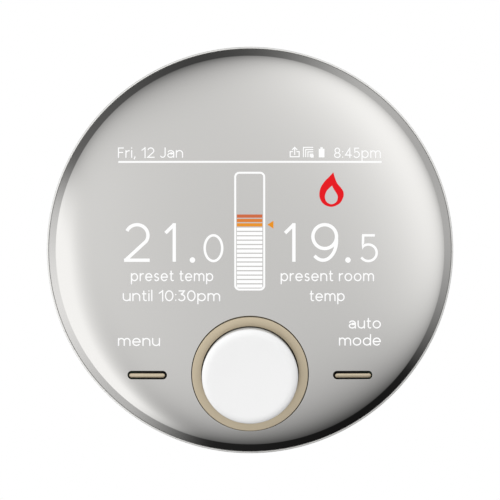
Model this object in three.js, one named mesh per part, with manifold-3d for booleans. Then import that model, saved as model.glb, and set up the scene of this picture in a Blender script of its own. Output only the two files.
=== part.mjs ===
// A round, battery-powered wall thermostat, in millimetres.
//
// The wall is the plane y = 0 and the object stands out from it towards -Y, with +Z up. Most shapes are
// given by their depth, the distance in front of the wall, so a depth of 5 is at y = -5. The head (domed
// front cover, rear cover, display, dial, two keys, two cells) pushes onto a wall plate that is screwed to
// the wall. The dial and its encoder have a frame of their own, because the dial lies flat on the dome and
// so leans a little downwards.

import * as THREE from "three";
import { mergeVertices } from "three/addons/utils/BufferGeometryUtils.js";
import Module from "manifold-3d";

const wasm = await Module();
wasm.setup();

// ---------------------------------------------------------------- driving dimensions

const CASE_R = 50; // outer radius of the rear cover, the widest part
const LIP = 0.45; // thickness of the rear cover's lip around the front cover
const SEAM = 0.1; // gap between the lip and the front cover
const RIM_DEPTH = 20; // depth of the lip's front edge
const DOME_FOOT = 19.55; // depth that the dome's curve rises from
const DOME_H = 10.65; // height of the dome above its foot
const DOME_POWER = 2.315; // 2 is an ellipse, and more is flatter in the middle
const COVER_T = 1.8; // wall thickness of the front cover
const DOME_R = CASE_R - LIP - SEAM;
const CURVE_R = DOME_R + 0.2; // the dome's curve would run to here
const BEVEL = { r: 47.75, slope: 1.237 }; // where a straight bevel ends the curve, and its fall per mm
const SHELL_STEPS = 60; // facets round the two covers

const PLATE = { r: 36.8, thick: 2.6, chamfer: 0.6 };
const FIX_SPACING = 60.3; // screw centres of a standard wall box
const FIX_SLOT = { width: 4.8, length: 9.6 };
const FIX_POCKET = { width: 9.6, length: 14.4, floor: 1.3 };
const CLIP = { r: 33, width: 9, thick: 1.5, top: 7, hook: 0.4, gap: 0.5 };
const CLIP_ANGLES = [90, 210, 330];

const REAR = {
  back: 0.8, // shadow gap between the rear cover and the wall
  edgeR: 45.8, // where the flat back turns into the rounded side
  sideDepth: 13, // depth at which the rounded side reaches the full radius
  recessR: 37.5, // recess that takes the wall plate
  recessFloor: 2.9,
  wall: 1.5,
  innerR: 48,
};
const VENT = { count: 9, pitch: 4.5, width: 1.5, from: 5, to: 12 };

const CASE_SCREWS = [[18, 37.5], [-18, 37.5], [-18, -37.5], [18, -37.5]];
const CASE_SCREW = { headR: 2.2, head: 1.4, seat: 2.9, shankR: 1.15, end: 18 };
const BOARD_SCREWS = [[38.5, -17], [-38.5, -17], [11, 33.5]];
const BOARD_SCREW = { headR: 2.1, head: 0, seat: 1.2, shankR: 0.85, end: 8 };

const CELL = { r: 7.25, body: 49.2, nub: 1.3, nubR: 2.75, depth: 10.35, pitch: 15 }; // AA size
const BAY = { width: 56, height: 30, z: 4, wall: 1.2, roof: 18 };
const CONTACT_X = 27.7;

const BOARD = { r: 44.5, from: 19.5, to: 20.7, notchR: 16.5, cornerX: 22, cornerZ: -33.5 };
const DISPLAY = { width: 66.5, height: 40, z: 6.25, from: 22.1, to: 23, backFrom: 20.8 };

const DIAL_Z = -30.45; // height of the dial's centre
const DIAL_HOLE_R = 14.4;
const DIAL_R = 14.2; // outer radius of the dial ring
const DIAL_PROUD = 0.15; // ring face above the dome, at the dial's left and right
const CAP_R = 11.8;
const COLLAR_R = 11.6;
const SHAFT_R = 3;

const KEY = { x: 25.2, z: -30.7, w: 8.9, h: 1.1, slotW: 9.7, slotH: 2.05, sunk: 0.45 };
const KEY_BAR = { x: KEY.x + 0.1, z: KEY.z - 0.08 }; // the bar sits a little outwards and low in its slot
const KEY_FLANGE = { x: 23, w: 8, h: 4, from: 22.7, to: 23.5 };
const SWITCH = { x: 24.2, w: 4.8, h: 3.6, top: 22, wellR: 1.1, wellFloor: 21.05 };

// Heights along the dial's own axis, from the ring's face at 0. Negative ones are behind it.
const DIAL = {
  capTop: 3.8,
  collarTop: 2.6,
  seat: -3, // underside of the ring and the collar
  hubFace: -3.1,
  flangeTop: -3.4,
  flangeBottom: -4.4,
  hubEnd: -9,
};
const HUB = { faceR: DIAL_R - 0.2, flangeR: 15.2, stemR: 5 };
const ENCODER = {
  shaftTop: -4.8,
  flatEnd: -9.4,
  shaftEnd: -15.6,
  bushTop: -9.6,
  nutTop: -13.4,
  bodyTop: -14.2,
  bodyBottom: -18.7,
  plungerTop: -15.7,
  plungerEnd: -16.9,
  domeTop: -17.6,
  wellFloor: -17.9,
  boardTop: -18.8,
  boardBottom: -20,
  postTop: -20.2,
  size: 12,
};
const DIAL_POST = { x: 11.5, r: 2.6, foot: -24.4, holeR: 1, holeEnd: -23.2 };

// ---------------------------------------------------------------- finishes

const finish = (color, roughness, metalness) =>
  new THREE.MeshStandardMaterial({ color, roughness, metalness });

const FINISH = {
  cover: finish(0xc9c8c5, 0.16, 0.9),
  shell: finish(0xd6d6d4, 0.45, 0),
  plate: finish(0xe8e8e6, 0.55, 0),
  gold: finish(0xbaae93, 0.32, 0.95),
  white: finish(0xf2f2f2, 0.2, 0),
  black: finish(0x1c1c1e, 0.5, 0),
  board: finish(0x1f5a36, 0.5, 0.05),
  steel: finish(0xb9bcc0, 0.3, 1),
  brass: finish(0xc9a95a, 0.3, 1),
  cell: finish(0x3d4248, 0.35, 0.6),
  glass: finish(0x15181b, 0.05, 0),
  clear: finish(0xe9eef0, 0.1, 0),
  chip: finish(0x222326, 0.4, 0),
  ribbon: finish(0xb8772e, 0.5, 0),
};

// ---------------------------------------------------------------- solids

// A closed geometry as a manifold-3d solid.
function solid(geometry) {
  const bare = (geometry.index ? geometry.toNonIndexed() : geometry.clone())
    .deleteAttribute("normal")
    .deleteAttribute("uv");
  const merged = mergeVertices(bare, 1e-4);
  return new wasm.Manifold(
    new wasm.Mesh({
      numProp: 3,
      vertProperties: new Float32Array(merged.attributes.position.array),
      triVerts: new Uint32Array(merged.index.array),
    }),
  );
}

function geometryOf(made) {
  const mesh = made.getMesh();
  const geometry = new THREE.BufferGeometry();
  geometry.setAttribute("position", new THREE.BufferAttribute(mesh.vertProperties, 3));
  geometry.setIndex(new THREE.BufferAttribute(mesh.triVerts, 1));
  const flat = geometry.toNonIndexed();
  flat.computeVertexNormals();
  return flat;
}

const joined = (first, ...others) => others.reduce((sum, g) => sum.add(solid(g)), solid(first));
const cut = (body, ...tools) => tools.reduce((left, g) => left.subtract(solid(g)), body);

// A solid turned about the depth axis, from a closed outline of [radius, depth] points.
function turned(outline, segments = 32) {
  const points = outline.map(([r, depth]) => new THREE.Vector2(r, -depth));
  if (THREE.ShapeUtils.area(points) < 0) points.reverse();
  points.push(points[0].clone());
  return new THREE.LatheGeometry(points, segments);
}

// A flat shape drawn in x and z, made solid between two depths.
function slab(shape, from, to, curveSegments = 4) {
  const geometry = new THREE.ExtrudeGeometry(shape, {
    depth: to - from,
    bevelEnabled: false,
    curveSegments,
  });
  return geometry.rotateX(Math.PI / 2).translate(0, -from, 0);
}

// A round rod along the depth axis.
const rod = (r, from, to, x = 0, z = 0, segments = 20) =>
  new THREE.CylinderGeometry(r, r, to - from, segments).translate(x, -(from + to) / 2, z);

const block = (w, h, from, to, x = 0, z = 0) =>
  new THREE.BoxGeometry(w, to - from, h).translate(x, -(from + to) / 2, z);

function roundedRect(w, h, r, x = 0, z = 0) {
  const [left, right, low, high] = [x - w / 2, x + w / 2, z - h / 2, z + h / 2];
  const shape = new THREE.Shape();
  shape.moveTo(left + r, low);
  shape.lineTo(right - r, low);
  shape.absarc(right - r, low + r, r, -Math.PI / 2, 0);
  shape.lineTo(right, high - r);
  shape.absarc(right - r, high - r, r, 0, Math.PI / 2);
  shape.lineTo(left + r, high);
  shape.absarc(left + r, high - r, r, Math.PI / 2, Math.PI);
  shape.lineTo(left, low + r);
  shape.absarc(left + r, low + r, r, Math.PI, 1.5 * Math.PI);
  return shape;
}

const stadium = (w, h, x, z) => roundedRect(w, h, Math.min(w, h) / 2 - 1e-3, x, z);

// A block whose inner face is `r` from the centre line, in the direction `angle`.
const radialBlock = (angle, r, thick, width, from, to) =>
  new THREE.BoxGeometry(thick, to - from, width)
    .translate(r + thick / 2, -(from + to) / 2, 0)
    .rotateY(-THREE.MathUtils.degToRad(angle));

// ---------------------------------------------------------------- the dome

// Height of a flattened dome of radius r0 above its rim, at distance r from the axis.
const domeHeight = (r, r0, h) => h * Math.sqrt(Math.max(0, 1 - (r / r0) ** DOME_POWER));
const domeDepth = (r) =>
  DOME_FOOT + domeHeight(Math.min(r, BEVEL.r), CURVE_R, DOME_H) - BEVEL.slope * Math.max(0, r - BEVEL.r);
const INNER_R = DOME_R - COVER_T;
const innerDepth = (r) => DOME_FOOT + domeHeight(r, INNER_R, DOME_H - COVER_T);

// Points [r, depth] down a dome from its top to its rim, closer together where it curves most.
function domeProfile(r0, depthAt, steps) {
  const points = [];
  for (let i = 0; i <= steps; i++) {
    const r = r0 * Math.sin(((i / steps) * Math.PI) / 2);
    points.push([r, depthAt(r)]);
  }
  return points;
}

// The front cover's outer face, or one `sunk` below it: the dome and its bevel.
const outerFace = (sunk = 0) =>
  [...domeProfile(BEVEL.r, domeDepth, 12), [DOME_R, domeDepth(DOME_R)]].map(([r, d]) => [r, d - sunk]);

// Everything at least `sunk` below the dome's outer face.
function underDome(sunk) {
  return solid(turned([...outerFace(sunk), [DOME_R, 10], [0, 10]], SHELL_STEPS));
}

// ---------------------------------------------------------------- the dial's frame

// The dial's face is parallel to the line from the highest to the lowest edge of its hole.
const holeTop = domeDepth(Math.abs(DIAL_Z) - DIAL_HOLE_R);
const holeBottom = domeDepth(Math.abs(DIAL_Z) + DIAL_HOLE_R);

const dialFrame = new THREE.Group();
dialFrame.position.set(0, -domeDepth(Math.hypot(DIAL_Z, DIAL_HOLE_R)) - DIAL_PROUD, DIAL_Z);
dialFrame.rotation.x = Math.atan2(holeTop - holeBottom, 2 * DIAL_HOLE_R);
dialFrame.updateMatrixWorld(true);
const inDialFrame = (geometry) => geometry.clone().applyMatrix4(dialFrame.matrixWorld);

const SIDES = [-1, 1]; // left and right
const dialPosts = (r, from, to, segments) =>
  SIDES.map((side) => inDialFrame(rod(r, from, to, side * DIAL_POST.x, 0, segments)));

// ---------------------------------------------------------------- wall plate

function wallPlate() {
  const { r, thick, chamfer } = PLATE;
  const disc = turned([[0, 0], [r, 0], [r, thick - chamfer], [r - chamfer, thick], [0, thick]], 64);
  const [hookFrom, hookTo] = [CLIP.top - 1.4, CLIP.top - 0.4];
  const clips = CLIP_ANGLES.flatMap((angle) => [
    radialBlock(angle, CLIP.r, CLIP.thick, CLIP.width, thick - 0.5, CLIP.top),
    radialBlock(angle, CLIP.r, CLIP.thick + CLIP.hook, CLIP.width - 3, hookFrom, hookTo),
  ]);
  const slots = SIDES.flatMap((side) => {
    const x = (side * FIX_SPACING) / 2;
    return [
      slab(stadium(FIX_SLOT.width, FIX_SLOT.length, x, 0), -1, thick + 1),
      slab(stadium(FIX_POCKET.width, FIX_POCKET.length, x, 0), FIX_POCKET.floor, thick + 1),
    ];
  });
  return geometryOf(cut(joined(disc, ...clips), ...slots));
}

// A cross recess for a screw head, as two blocks.
const crossRecess = (length, width, from, to, x = 0, z = 0) => [
  block(length, width, from, to, x, z),
  block(width, length, from, to, x, z),
];

// A low-headed screw in a slot of the plate. It ends at the wall's face.
function wallScrew(side) {
  const x = (side * FIX_SPACING) / 2;
  const outline = [[0, 0], [2, 0], [2, 1.35], [4, 1.35], [3.6, 2.1], [2.6, 2.5], [0, 2.5]];
  const screw = turned(outline, 24).translate(x, 0, 0);
  return geometryOf(cut(solid(screw), ...crossRecess(4.2, 0.9, 1.7, 3, x)));
}

// ---------------------------------------------------------------- rear cover

// A quarter ellipse from the flat back at radius r0 to the full radius r1.
function roundedSide(r0, r1, depth0, depth1, steps) {
  const points = [];
  for (let i = 0; i <= steps; i++) {
    const a = ((i / steps) * Math.PI) / 2;
    points.push([r0 + (r1 - r0) * Math.sin(a), depth1 - (depth1 - depth0) * Math.cos(a)]);
  }
  return points;
}

function rearShell() {
  const { back, edgeR, sideDepth, recessR, recessFloor, wall, innerR } = REAR;
  const floor = recessFloor + wall;
  const inside = back + COVER_T;
  const lipR = CASE_R - LIP;
  const bevel = 0.15;
  return turned(
    [
      [0, recessFloor], [recessR, recessFloor], [recessR, back],
      ...roundedSide(edgeR, CASE_R, back, sideDepth, 6),
      [CASE_R, RIM_DEPTH - bevel], [CASE_R - bevel, RIM_DEPTH], [lipR, RIM_DEPTH],
      [lipR, RIM_DEPTH - 2], [innerR, RIM_DEPTH - 2],
      ...roundedSide(edgeR - 1.9, innerR, inside, sideDepth, 4).reverse(),
      [recessR + wall, inside], [recessR + wall, floor], [0, floor],
    ],
    SHELL_STEPS,
  );
}

function rearCover() {
  const floor = REAR.recessFloor + REAR.wall;
  const bayOuter = roundedRect(BAY.width + 2 * BAY.wall, BAY.height + 2 * BAY.wall, 1.5, 0, BAY.z);
  const bayInner = roundedRect(BAY.width, BAY.height, 0.6, 0, BAY.z);
  const boardPost = ([x, z]) => rod(2.5, Math.hypot(x, z) < REAR.recessR ? 4 : 2, 19.3, x, z);
  const adds = [
    slab(bayOuter, floor - 0.5, BAY.roof + 1),
    ...CASE_SCREWS.map(([x, z]) => rod(3.3, 1.8, 12, x, z)),
    ...BOARD_SCREWS.map(boardPost),
    ...dialPosts(DIAL_POST.r, DIAL_POST.foot, ENCODER.postTop, 20),
  ];
  const { r, gap, hook, width } = CLIP;
  const vents = [90, 270].flatMap((middle) =>
    Array.from({ length: VENT.count }, (_, i) => {
      const angle = middle + (i - (VENT.count - 1) / 2) * VENT.pitch;
      return radialBlock(angle, 42.5, 12, VENT.width, VENT.from, VENT.to);
    }),
  );
  const cuts = [
    slab(bayInner, 1, BAY.roof),
    ...CASE_SCREWS.map(([x, z]) => rod(2.6, 0, 3, x, z)),
    ...CASE_SCREWS.map(([x, z]) => rod(1.4, 0, 13, x, z, 16)),
    ...BOARD_SCREWS.map(([x, z]) => rod(1, 12, 20, x, z, 12)),
    ...dialPosts(DIAL_POST.holeR, DIAL_POST.holeEnd, -19, 12),
    ...CLIP_ANGLES.map((angle) =>
      radialBlock(angle, r - gap, CLIP.thick + hook + 2 * gap, width + 2 * gap, 1, 6),
    ),
    ...vents,
  ];
  return geometryOf(cut(joined(rearShell(), ...adds), ...cuts));
}

// ---------------------------------------------------------------- front cover

function frontCover() {
  const skirt = RIM_DEPTH - COVER_T;
  const shell = turned(
    [
      ...outerFace(), [DOME_R, skirt], [INNER_R, skirt],
      ...domeProfile(INNER_R, innerDepth, 8).reverse(),
    ],
    SHELL_STEPS,
  );
  const insideFace = underDome(COVER_T / 2);
  const boss = ([x, z]) => solid(rod(2.8, 12.3, 30, x, z)).intersect(insideFace);
  return geometryOf(
    cut(
      CASE_SCREWS.reduce((sum, place) => sum.add(boss(place)), solid(shell)),
      ...CASE_SCREWS.map(([x, z]) => rod(1.3, 11, 20, x, z, 16)),
      inDialFrame(rod(DIAL_HOLE_R, -8, 8, 0, 0, 64)),
      ...SIDES.map((side) => slab(stadium(KEY.slotW, KEY.slotH, side * KEY.x, KEY.z), 20, 32, 8)),
    ),
  );
}

// A pan-head screw that points away from the wall, with a cross recess in its head.
function screw({ headR, head, seat, shankR, end }) {
  const outline = [[0, head], [headR * 0.8, head], [headR, head + 0.4], [headR, seat], [0, seat]];
  return geometryOf(
    cut(
      joined(turned(outline, 20), rod(shankR, seat - 0.1, end, 0, 0, 12)),
      ...crossRecess(headR * 1.3, 0.5, head - 0.5, head + 0.7),
    ),
  );
}

// ---------------------------------------------------------------- boards and display

function mainBoard() {
  const [low, high] = [BOARD.from - 1, BOARD.to + 1];
  return geometryOf(
    cut(
      solid(rod(BOARD.r, BOARD.from, BOARD.to, 0, 0, 72)),
      rod(BOARD.notchR, low, high, 0, DIAL_Z, 40),
      block(2 * BOARD.notchR, 20, low, high, 0, DIAL_Z - 10),
      block(2 * BOARD.cornerX, 20, low, high, 0, BOARD.cornerZ - 10),
      ...CASE_SCREWS.map(([x, z]) => rod(3.6, low, high, x, z)),
      ...BOARD_SCREWS.map(([x, z]) => rod(1.3, low, high, x, z, 16)),
    ),
  );
}

const boardScrew = () =>
  screw(BOARD_SCREW).rotateX(Math.PI).translate(0, -BOARD.to - BOARD_SCREW.seat - 0.05, 0);

const displayPanel = (grow, radius, from, to) =>
  slab(roundedRect(DISPLAY.width + grow, DISPLAY.height + grow, radius, 0, DISPLAY.z), from, to);

const displayFrame = () =>
  geometryOf(cut(solid(displayPanel(4, 6, DISPLAY.backFrom, 23.2)), displayPanel(2, 4.4, 20, 24)));

// A push switch's body, with a well for its plunger.
function switchBody(side) {
  const x = side * SWITCH.x;
  return geometryOf(
    cut(
      solid(block(SWITCH.w, SWITCH.h, BOARD.to + 0.05, SWITCH.top, x, KEY.z)),
      rod(SWITCH.wellR, SWITCH.wellFloor, 23, x, KEY.z, 16),
    ),
  );
}

// A key: a bar that follows the dome, a flange behind the cover and a nub over the switch.
function key(side) {
  const bar = slab(stadium(KEY.w, KEY.h, side * KEY_BAR.x, KEY_BAR.z), 23.2, 32, 8);
  const { x, w, h, from, to } = KEY_FLANGE;
  const flange = slab(roundedRect(w, h, 1, side * x, KEY.z), from, to);
  const nub = rod(0.9, from - 0.2, from + 0.3, side * SWITCH.x, KEY.z, 12);
  return geometryOf(solid(bar).intersect(underDome(KEY.sunk)).add(solid(flange)).add(solid(nub)));
}

// ---------------------------------------------------------------- cells and contacts

// A cell lying along X, with its raised end towards `side`.
function cell(side, z) {
  const half = (CELL.body + CELL.nub) / 2;
  const end = half - CELL.nub;
  const { r, nubR } = CELL;
  const outline = [
    [0, -half], [r - 1, -half], [r, -half + 0.6], [r, end - 0.6], [r - 1, end],
    [nubR, end], [nubR, half], [0, half],
  ];
  return turned(outline, 28)
    .rotateZ((side * Math.PI) / 2)
    .translate(0, -CELL.depth, z);
}

// A short conical coil between a cell and its contact plate.
function cellSpring(side, z) {
  const steps = 20;
  const turns = 2.2;
  const points = [];
  for (let i = 0; i <= steps; i++) {
    const share = i / steps;
    const a = share * turns * 2 * Math.PI;
    const r = 3.6 - 1.6 * share;
    const x = side * (CONTACT_X - 0.6 - 1.35 * share);
    points.push(new THREE.Vector3(x, r * Math.cos(a) - CELL.depth, z + r * Math.sin(a)));
  }
  const wire = new THREE.Shape().absarc(0, 0, 0.3, 0, 2 * Math.PI);
  return new THREE.ExtrudeGeometry(wire, {
    extrudePath: new THREE.CatmullRomCurve3(points),
    steps: 36,
    curveSegments: 3,
    bevelEnabled: false,
  });
}

const contactPlate = (side, high, z) =>
  block(0.4, high, CELL.depth - 5, CELL.depth + 5, side * CONTACT_X, z);

// ---------------------------------------------------------------- dial and encoder, in the dial's frame

function dialRing() {
  const inner = CAP_R + 0.15;
  const outline = [
    [inner, DIAL.seat], [DIAL_R, DIAL.seat], [DIAL_R, -0.25], [DIAL_R - 0.2, -0.05],
    [(inner + DIAL_R) / 2, 0.08], [inner + 0.25, 0], [inner, -0.25],
  ];
  return turned(outline, 64);
}

// The white cap, a slightly dished disc with a rounded edge.
function dialCap() {
  const foot = DIAL.collarTop + 0.05;
  const edge = DIAL.capTop - foot - 0.2; // radius of the rounded edge
  const points = [[0, foot], [CAP_R - 0.15, foot], [CAP_R, foot + 0.2]];
  for (let i = 1; i <= 5; i++) {
    const a = ((i / 5) * Math.PI) / 2;
    points.push([CAP_R - edge + edge * Math.cos(a), DIAL.capTop - edge + edge * Math.sin(a)]);
  }
  points.push([CAP_R / 2, DIAL.capTop - 0.15], [0, DIAL.capTop - 0.2]);
  return turned(points, 64);
}

// The dark band that carries the cap above the ring.
const dialCollar = () => rod(COLLAR_R, DIAL.seat, DIAL.collarTop, 0, 0, 48);

// A round shaft with a flat along one side.
function flatShaft(r, from, to) {
  const flat = block(4 * r, 2 * r, from - 1, to + 1, 0, 1.55 * r);
  return cut(solid(rod(r, from, to, 0, 0, 28)), flat);
}

function dialHub() {
  const { faceR, flangeR, stemR } = HUB;
  const outline = [
    [0, DIAL.hubFace], [faceR, DIAL.hubFace], [faceR, DIAL.flangeTop], [flangeR, DIAL.flangeTop],
    [flangeR, DIAL.flangeBottom], [stemR, DIAL.flangeBottom], [stemR, DIAL.hubEnd],
    [0, DIAL.hubEnd],
  ];
  const socket = flatShaft(SHAFT_R + 0.15, DIAL.hubEnd - 1, ENCODER.shaftTop + 0.2);
  return geometryOf(solid(turned(outline, 48)).subtract(socket));
}

function encoderShaft() {
  const tip = flatShaft(SHAFT_R, ENCODER.flatEnd, ENCODER.shaftTop);
  return geometryOf(tip.add(solid(rod(SHAFT_R, ENCODER.shaftEnd, ENCODER.flatEnd + 0.1, 0, 0, 28))));
}

function encoderBushing() {
  const [bore, neck, nut] = [SHAFT_R + 0.2, SHAFT_R + 0.9, SHAFT_R + 1.6];
  const foot = ENCODER.bodyTop + 0.05;
  const outline = [
    [bore, foot], [nut, foot], [nut, ENCODER.nutTop], [neck, ENCODER.nutTop],
    [neck, ENCODER.bushTop], [bore, ENCODER.bushTop],
  ];
  return turned(outline, 32);
}

function encoderBody() {
  const { size, bodyTop, bodyBottom, wellFloor } = ENCODER;
  const box = slab(roundedRect(size, size, 0.8), bodyBottom, bodyTop);
  return geometryOf(cut(solid(box), rod(SHAFT_R + 0.3, wellFloor, bodyTop + 1, 0, 0, 28)));
}

function dialBoard() {
  const { boardBottom, boardTop } = ENCODER;
  const plate = slab(roundedRect(29, 17, 2), boardBottom, boardTop);
  const hole = (side) => rod(1.2, boardBottom - 1, boardTop + 1, side * DIAL_POST.x, 0, 16);
  return geometryOf(cut(solid(plate), ...SIDES.map(hole)));
}

// A screw that points towards the wall and holds the dial's board to a post.
function dialBoardScrew(side) {
  const seat = ENCODER.boardTop + 0.1;
  const outline = [
    [0, seat - 4.3], [0.85, seat - 4.3], [0.85, seat], [1.9, seat], [1.9, seat + 0.9],
    [1.4, seat + 1.2], [0, seat + 1.2],
  ];
  const made = cut(solid(turned(outline, 16)), ...crossRecess(2.4, 0.5, seat + 0.6, seat + 2));
  return geometryOf(made).translate(side * DIAL_POST.x, 0, 0);
}

// ---------------------------------------------------------------- assembly

const thermostat = new THREE.Group();

function add(name, geometry, material, parent = thermostat) {
  const mesh = new THREE.Mesh(geometry, material);
  mesh.name = name;
  parent.add(mesh);
  return mesh;
}

function addScrews(name, places, geometry) {
  places.forEach(([x, z], i) => {
    add(`${name}_${i + 1}`, geometry, FINISH.steel).position.set(x, 0, z);
  });
}

add("wall_plate", wallPlate(), FINISH.plate);
add("wall_screw_left", wallScrew(-1), FINISH.steel);
add("wall_screw_right", wallScrew(1), FINISH.steel);

add("rear_cover", rearCover(), FINISH.shell);
add("front_cover", frontCover(), FINISH.cover);
addScrews("case_screw", CASE_SCREWS, screw(CASE_SCREW));

add("main_board", mainBoard(), FINISH.board);
addScrews("main_board_screw", BOARD_SCREWS, boardScrew());
add("radio_module", block(18, 12, 17, BOARD.from - 0.05, -10, 28), FINISH.steel);
add("controller_chip", block(9, 8, 18.3, BOARD.from - 0.05, 5, 26.5), FINISH.chip);
add("capacitor", rod(3.2, 9.5, BOARD.from - 0.05, -36.5, 8, 24), FINISH.chip);
add("temperature_sensor", rod(1.3, 14.5, BOARD.from - 0.05, -25.5, -34, 16), FINISH.chip);

add("display_backlight", displayPanel(1.5, 4, DISPLAY.backFrom, DISPLAY.from - 0.1), FINISH.clear);
add("display_glass", displayPanel(0, 3, DISPLAY.from, DISPLAY.to), FINISH.glass);
add("display_frame", displayFrame(), FINISH.black);
add("display_ribbon", block(9, 3.7, 21.2, 21.4, -8, 30.3), FINISH.ribbon);
add("display_socket", block(11, 3, BOARD.to + 0.05, 22.2, -8, 33.8), FINISH.black);
add("menu_legend_light", slab(roundedRect(12, 5, 0.8, -27.6, -22.2), 20.8, 23.6), FINISH.clear);
add("mode_legend_light", slab(roundedRect(12.4, 8, 0.8, 26.5, -20.2), 20.8, 23.6), FINISH.clear);

const upperZ = BAY.z + CELL.pitch / 2;
const lowerZ = BAY.z - CELL.pitch / 2;
add("battery_1", cell(1, upperZ), FINISH.cell);
add("battery_2", cell(-1, lowerZ), FINISH.cell);
add("battery_bridge_plate", contactPlate(-1, 25, BAY.z), FINISH.steel);
add("battery_positive_plate", contactPlate(1, 10, upperZ), FINISH.steel);
add("battery_negative_plate", contactPlate(1, 10, lowerZ), FINISH.steel);
add("battery_spring_1", cellSpring(-1, upperZ), FINISH.steel);
add("battery_spring_2", cellSpring(1, lowerZ), FINISH.steel);

for (const [name, side] of [["menu", -1], ["mode", 1]]) {
  add(`${name}_key`, key(side), FINISH.gold);
  add(`${name}_switch_plunger`, rod(0.8, 21.7, 22.4, side * SWITCH.x, KEY.z, 14), FINISH.black);
  add(`${name}_switch_body`, switchBody(side), FINISH.black);
}

thermostat.add(dialFrame);
const plunger = rod(SHAFT_R - 0.8, ENCODER.plungerEnd, ENCODER.plungerTop);
const snapDome = rod(SHAFT_R - 0.4, ENCODER.wellFloor + 0.05, ENCODER.domeTop);
add("dial_ring", dialRing(), FINISH.gold, dialFrame);
add("dial_cap", dialCap(), FINISH.white, dialFrame);
add("dial_collar", dialCollar(), FINISH.black, dialFrame);
add("dial_hub", dialHub(), FINISH.black, dialFrame);
add("encoder_shaft", encoderShaft(), FINISH.steel, dialFrame);
add("encoder_bushing", encoderBushing(), FINISH.brass, dialFrame);
add("encoder_body", encoderBody(), FINISH.steel, dialFrame);
add("encoder_plunger", plunger, FINISH.black, dialFrame);
add("encoder_snap_dome", snapDome, FINISH.brass, dialFrame);
add("dial_board", dialBoard(), FINISH.board, dialFrame);
add("dial_board_screw_left", dialBoardScrew(-1), FINISH.steel, dialFrame);
add("dial_board_screw_right", dialBoardScrew(1), FINISH.steel, dialFrame);
add("dial_ribbon", block(8, 0.2, -18.5, -11.5, 0, 8.2), FINISH.ribbon, dialFrame);

export default thermostat;
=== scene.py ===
"""Looks of a round wall thermostat, built around its CAD frame.

The wall is the plane y = 0, the front of the object faces -Y and +Z is up. Sizes in the classes below are in
millimetres, and meshes are made in metres. A "depth" is a distance in front of the wall.
"""

import logging
import math
from dataclasses import dataclass, field
from enum import Enum
from typing import Callable, Iterable, Optional, Sequence, Union

import bmesh
import bpy
from mathutils import Matrix, Vector
from mathutils.geometry import tessellate_polygon


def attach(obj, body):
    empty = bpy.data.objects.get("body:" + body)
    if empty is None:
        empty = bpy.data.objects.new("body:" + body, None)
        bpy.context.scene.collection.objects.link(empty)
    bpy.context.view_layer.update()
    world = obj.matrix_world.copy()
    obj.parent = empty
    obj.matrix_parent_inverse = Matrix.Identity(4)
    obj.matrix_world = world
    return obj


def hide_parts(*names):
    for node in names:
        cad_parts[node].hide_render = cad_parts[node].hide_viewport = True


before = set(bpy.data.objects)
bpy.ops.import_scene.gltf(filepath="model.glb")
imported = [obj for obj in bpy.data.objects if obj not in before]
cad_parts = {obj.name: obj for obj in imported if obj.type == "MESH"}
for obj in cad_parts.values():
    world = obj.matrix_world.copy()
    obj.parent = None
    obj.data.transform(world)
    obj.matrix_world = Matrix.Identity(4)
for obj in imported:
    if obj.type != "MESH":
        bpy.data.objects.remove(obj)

log = logging.getLogger("thermostat")

MM = 0.001
TINY = 1e-6
Flat = tuple[float, float]
Colour = tuple[float, float, float]
Triple = tuple[float, float, float]


# ---------------------------------------------------------------- shader maths


class Signal:
    """A shader socket that can be used in Python sums."""

    def __init__(self, shader: "Shader", socket: bpy.types.NodeSocket) -> None:
        """Keeps the socket and the tree it belongs to."""
        self.shader = shader
        self.socket = socket

    def _math(self, operation: str, first: "Term", second: "Term") -> "Signal":
        """One Math node.

        Args:
            operation: what to work out.
            first: the first term.
            second: the second term.

        Returns:
            The result.
        """
        return self.shader.node(
            "ShaderNodeMath", {"operation": operation}, {0: first, 1: second}
        )

    def __add__(self, other: "Term") -> "Signal":
        """self + other."""
        return self._math("ADD", self, other)

    def __radd__(self, other: "Term") -> "Signal":
        """other + self."""
        return self._math("ADD", other, self)

    def __sub__(self, other: "Term") -> "Signal":
        """self - other."""
        return self._math("SUBTRACT", self, other)

    def __rsub__(self, other: "Term") -> "Signal":
        """other - self."""
        return self._math("SUBTRACT", other, self)

    def __mul__(self, other: "Term") -> "Signal":
        """self * other."""
        return self._math("MULTIPLY", self, other)

    def __rmul__(self, other: "Term") -> "Signal":
        """other * self."""
        return self._math("MULTIPLY", other, self)

    def __gt__(self, other: "Term") -> "Signal":
        """1 where self is greater, else 0."""
        return self._math("GREATER_THAN", self, other)


Term = Union[float, Signal]
Input = Union[float, Sequence[float], Signal]


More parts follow.
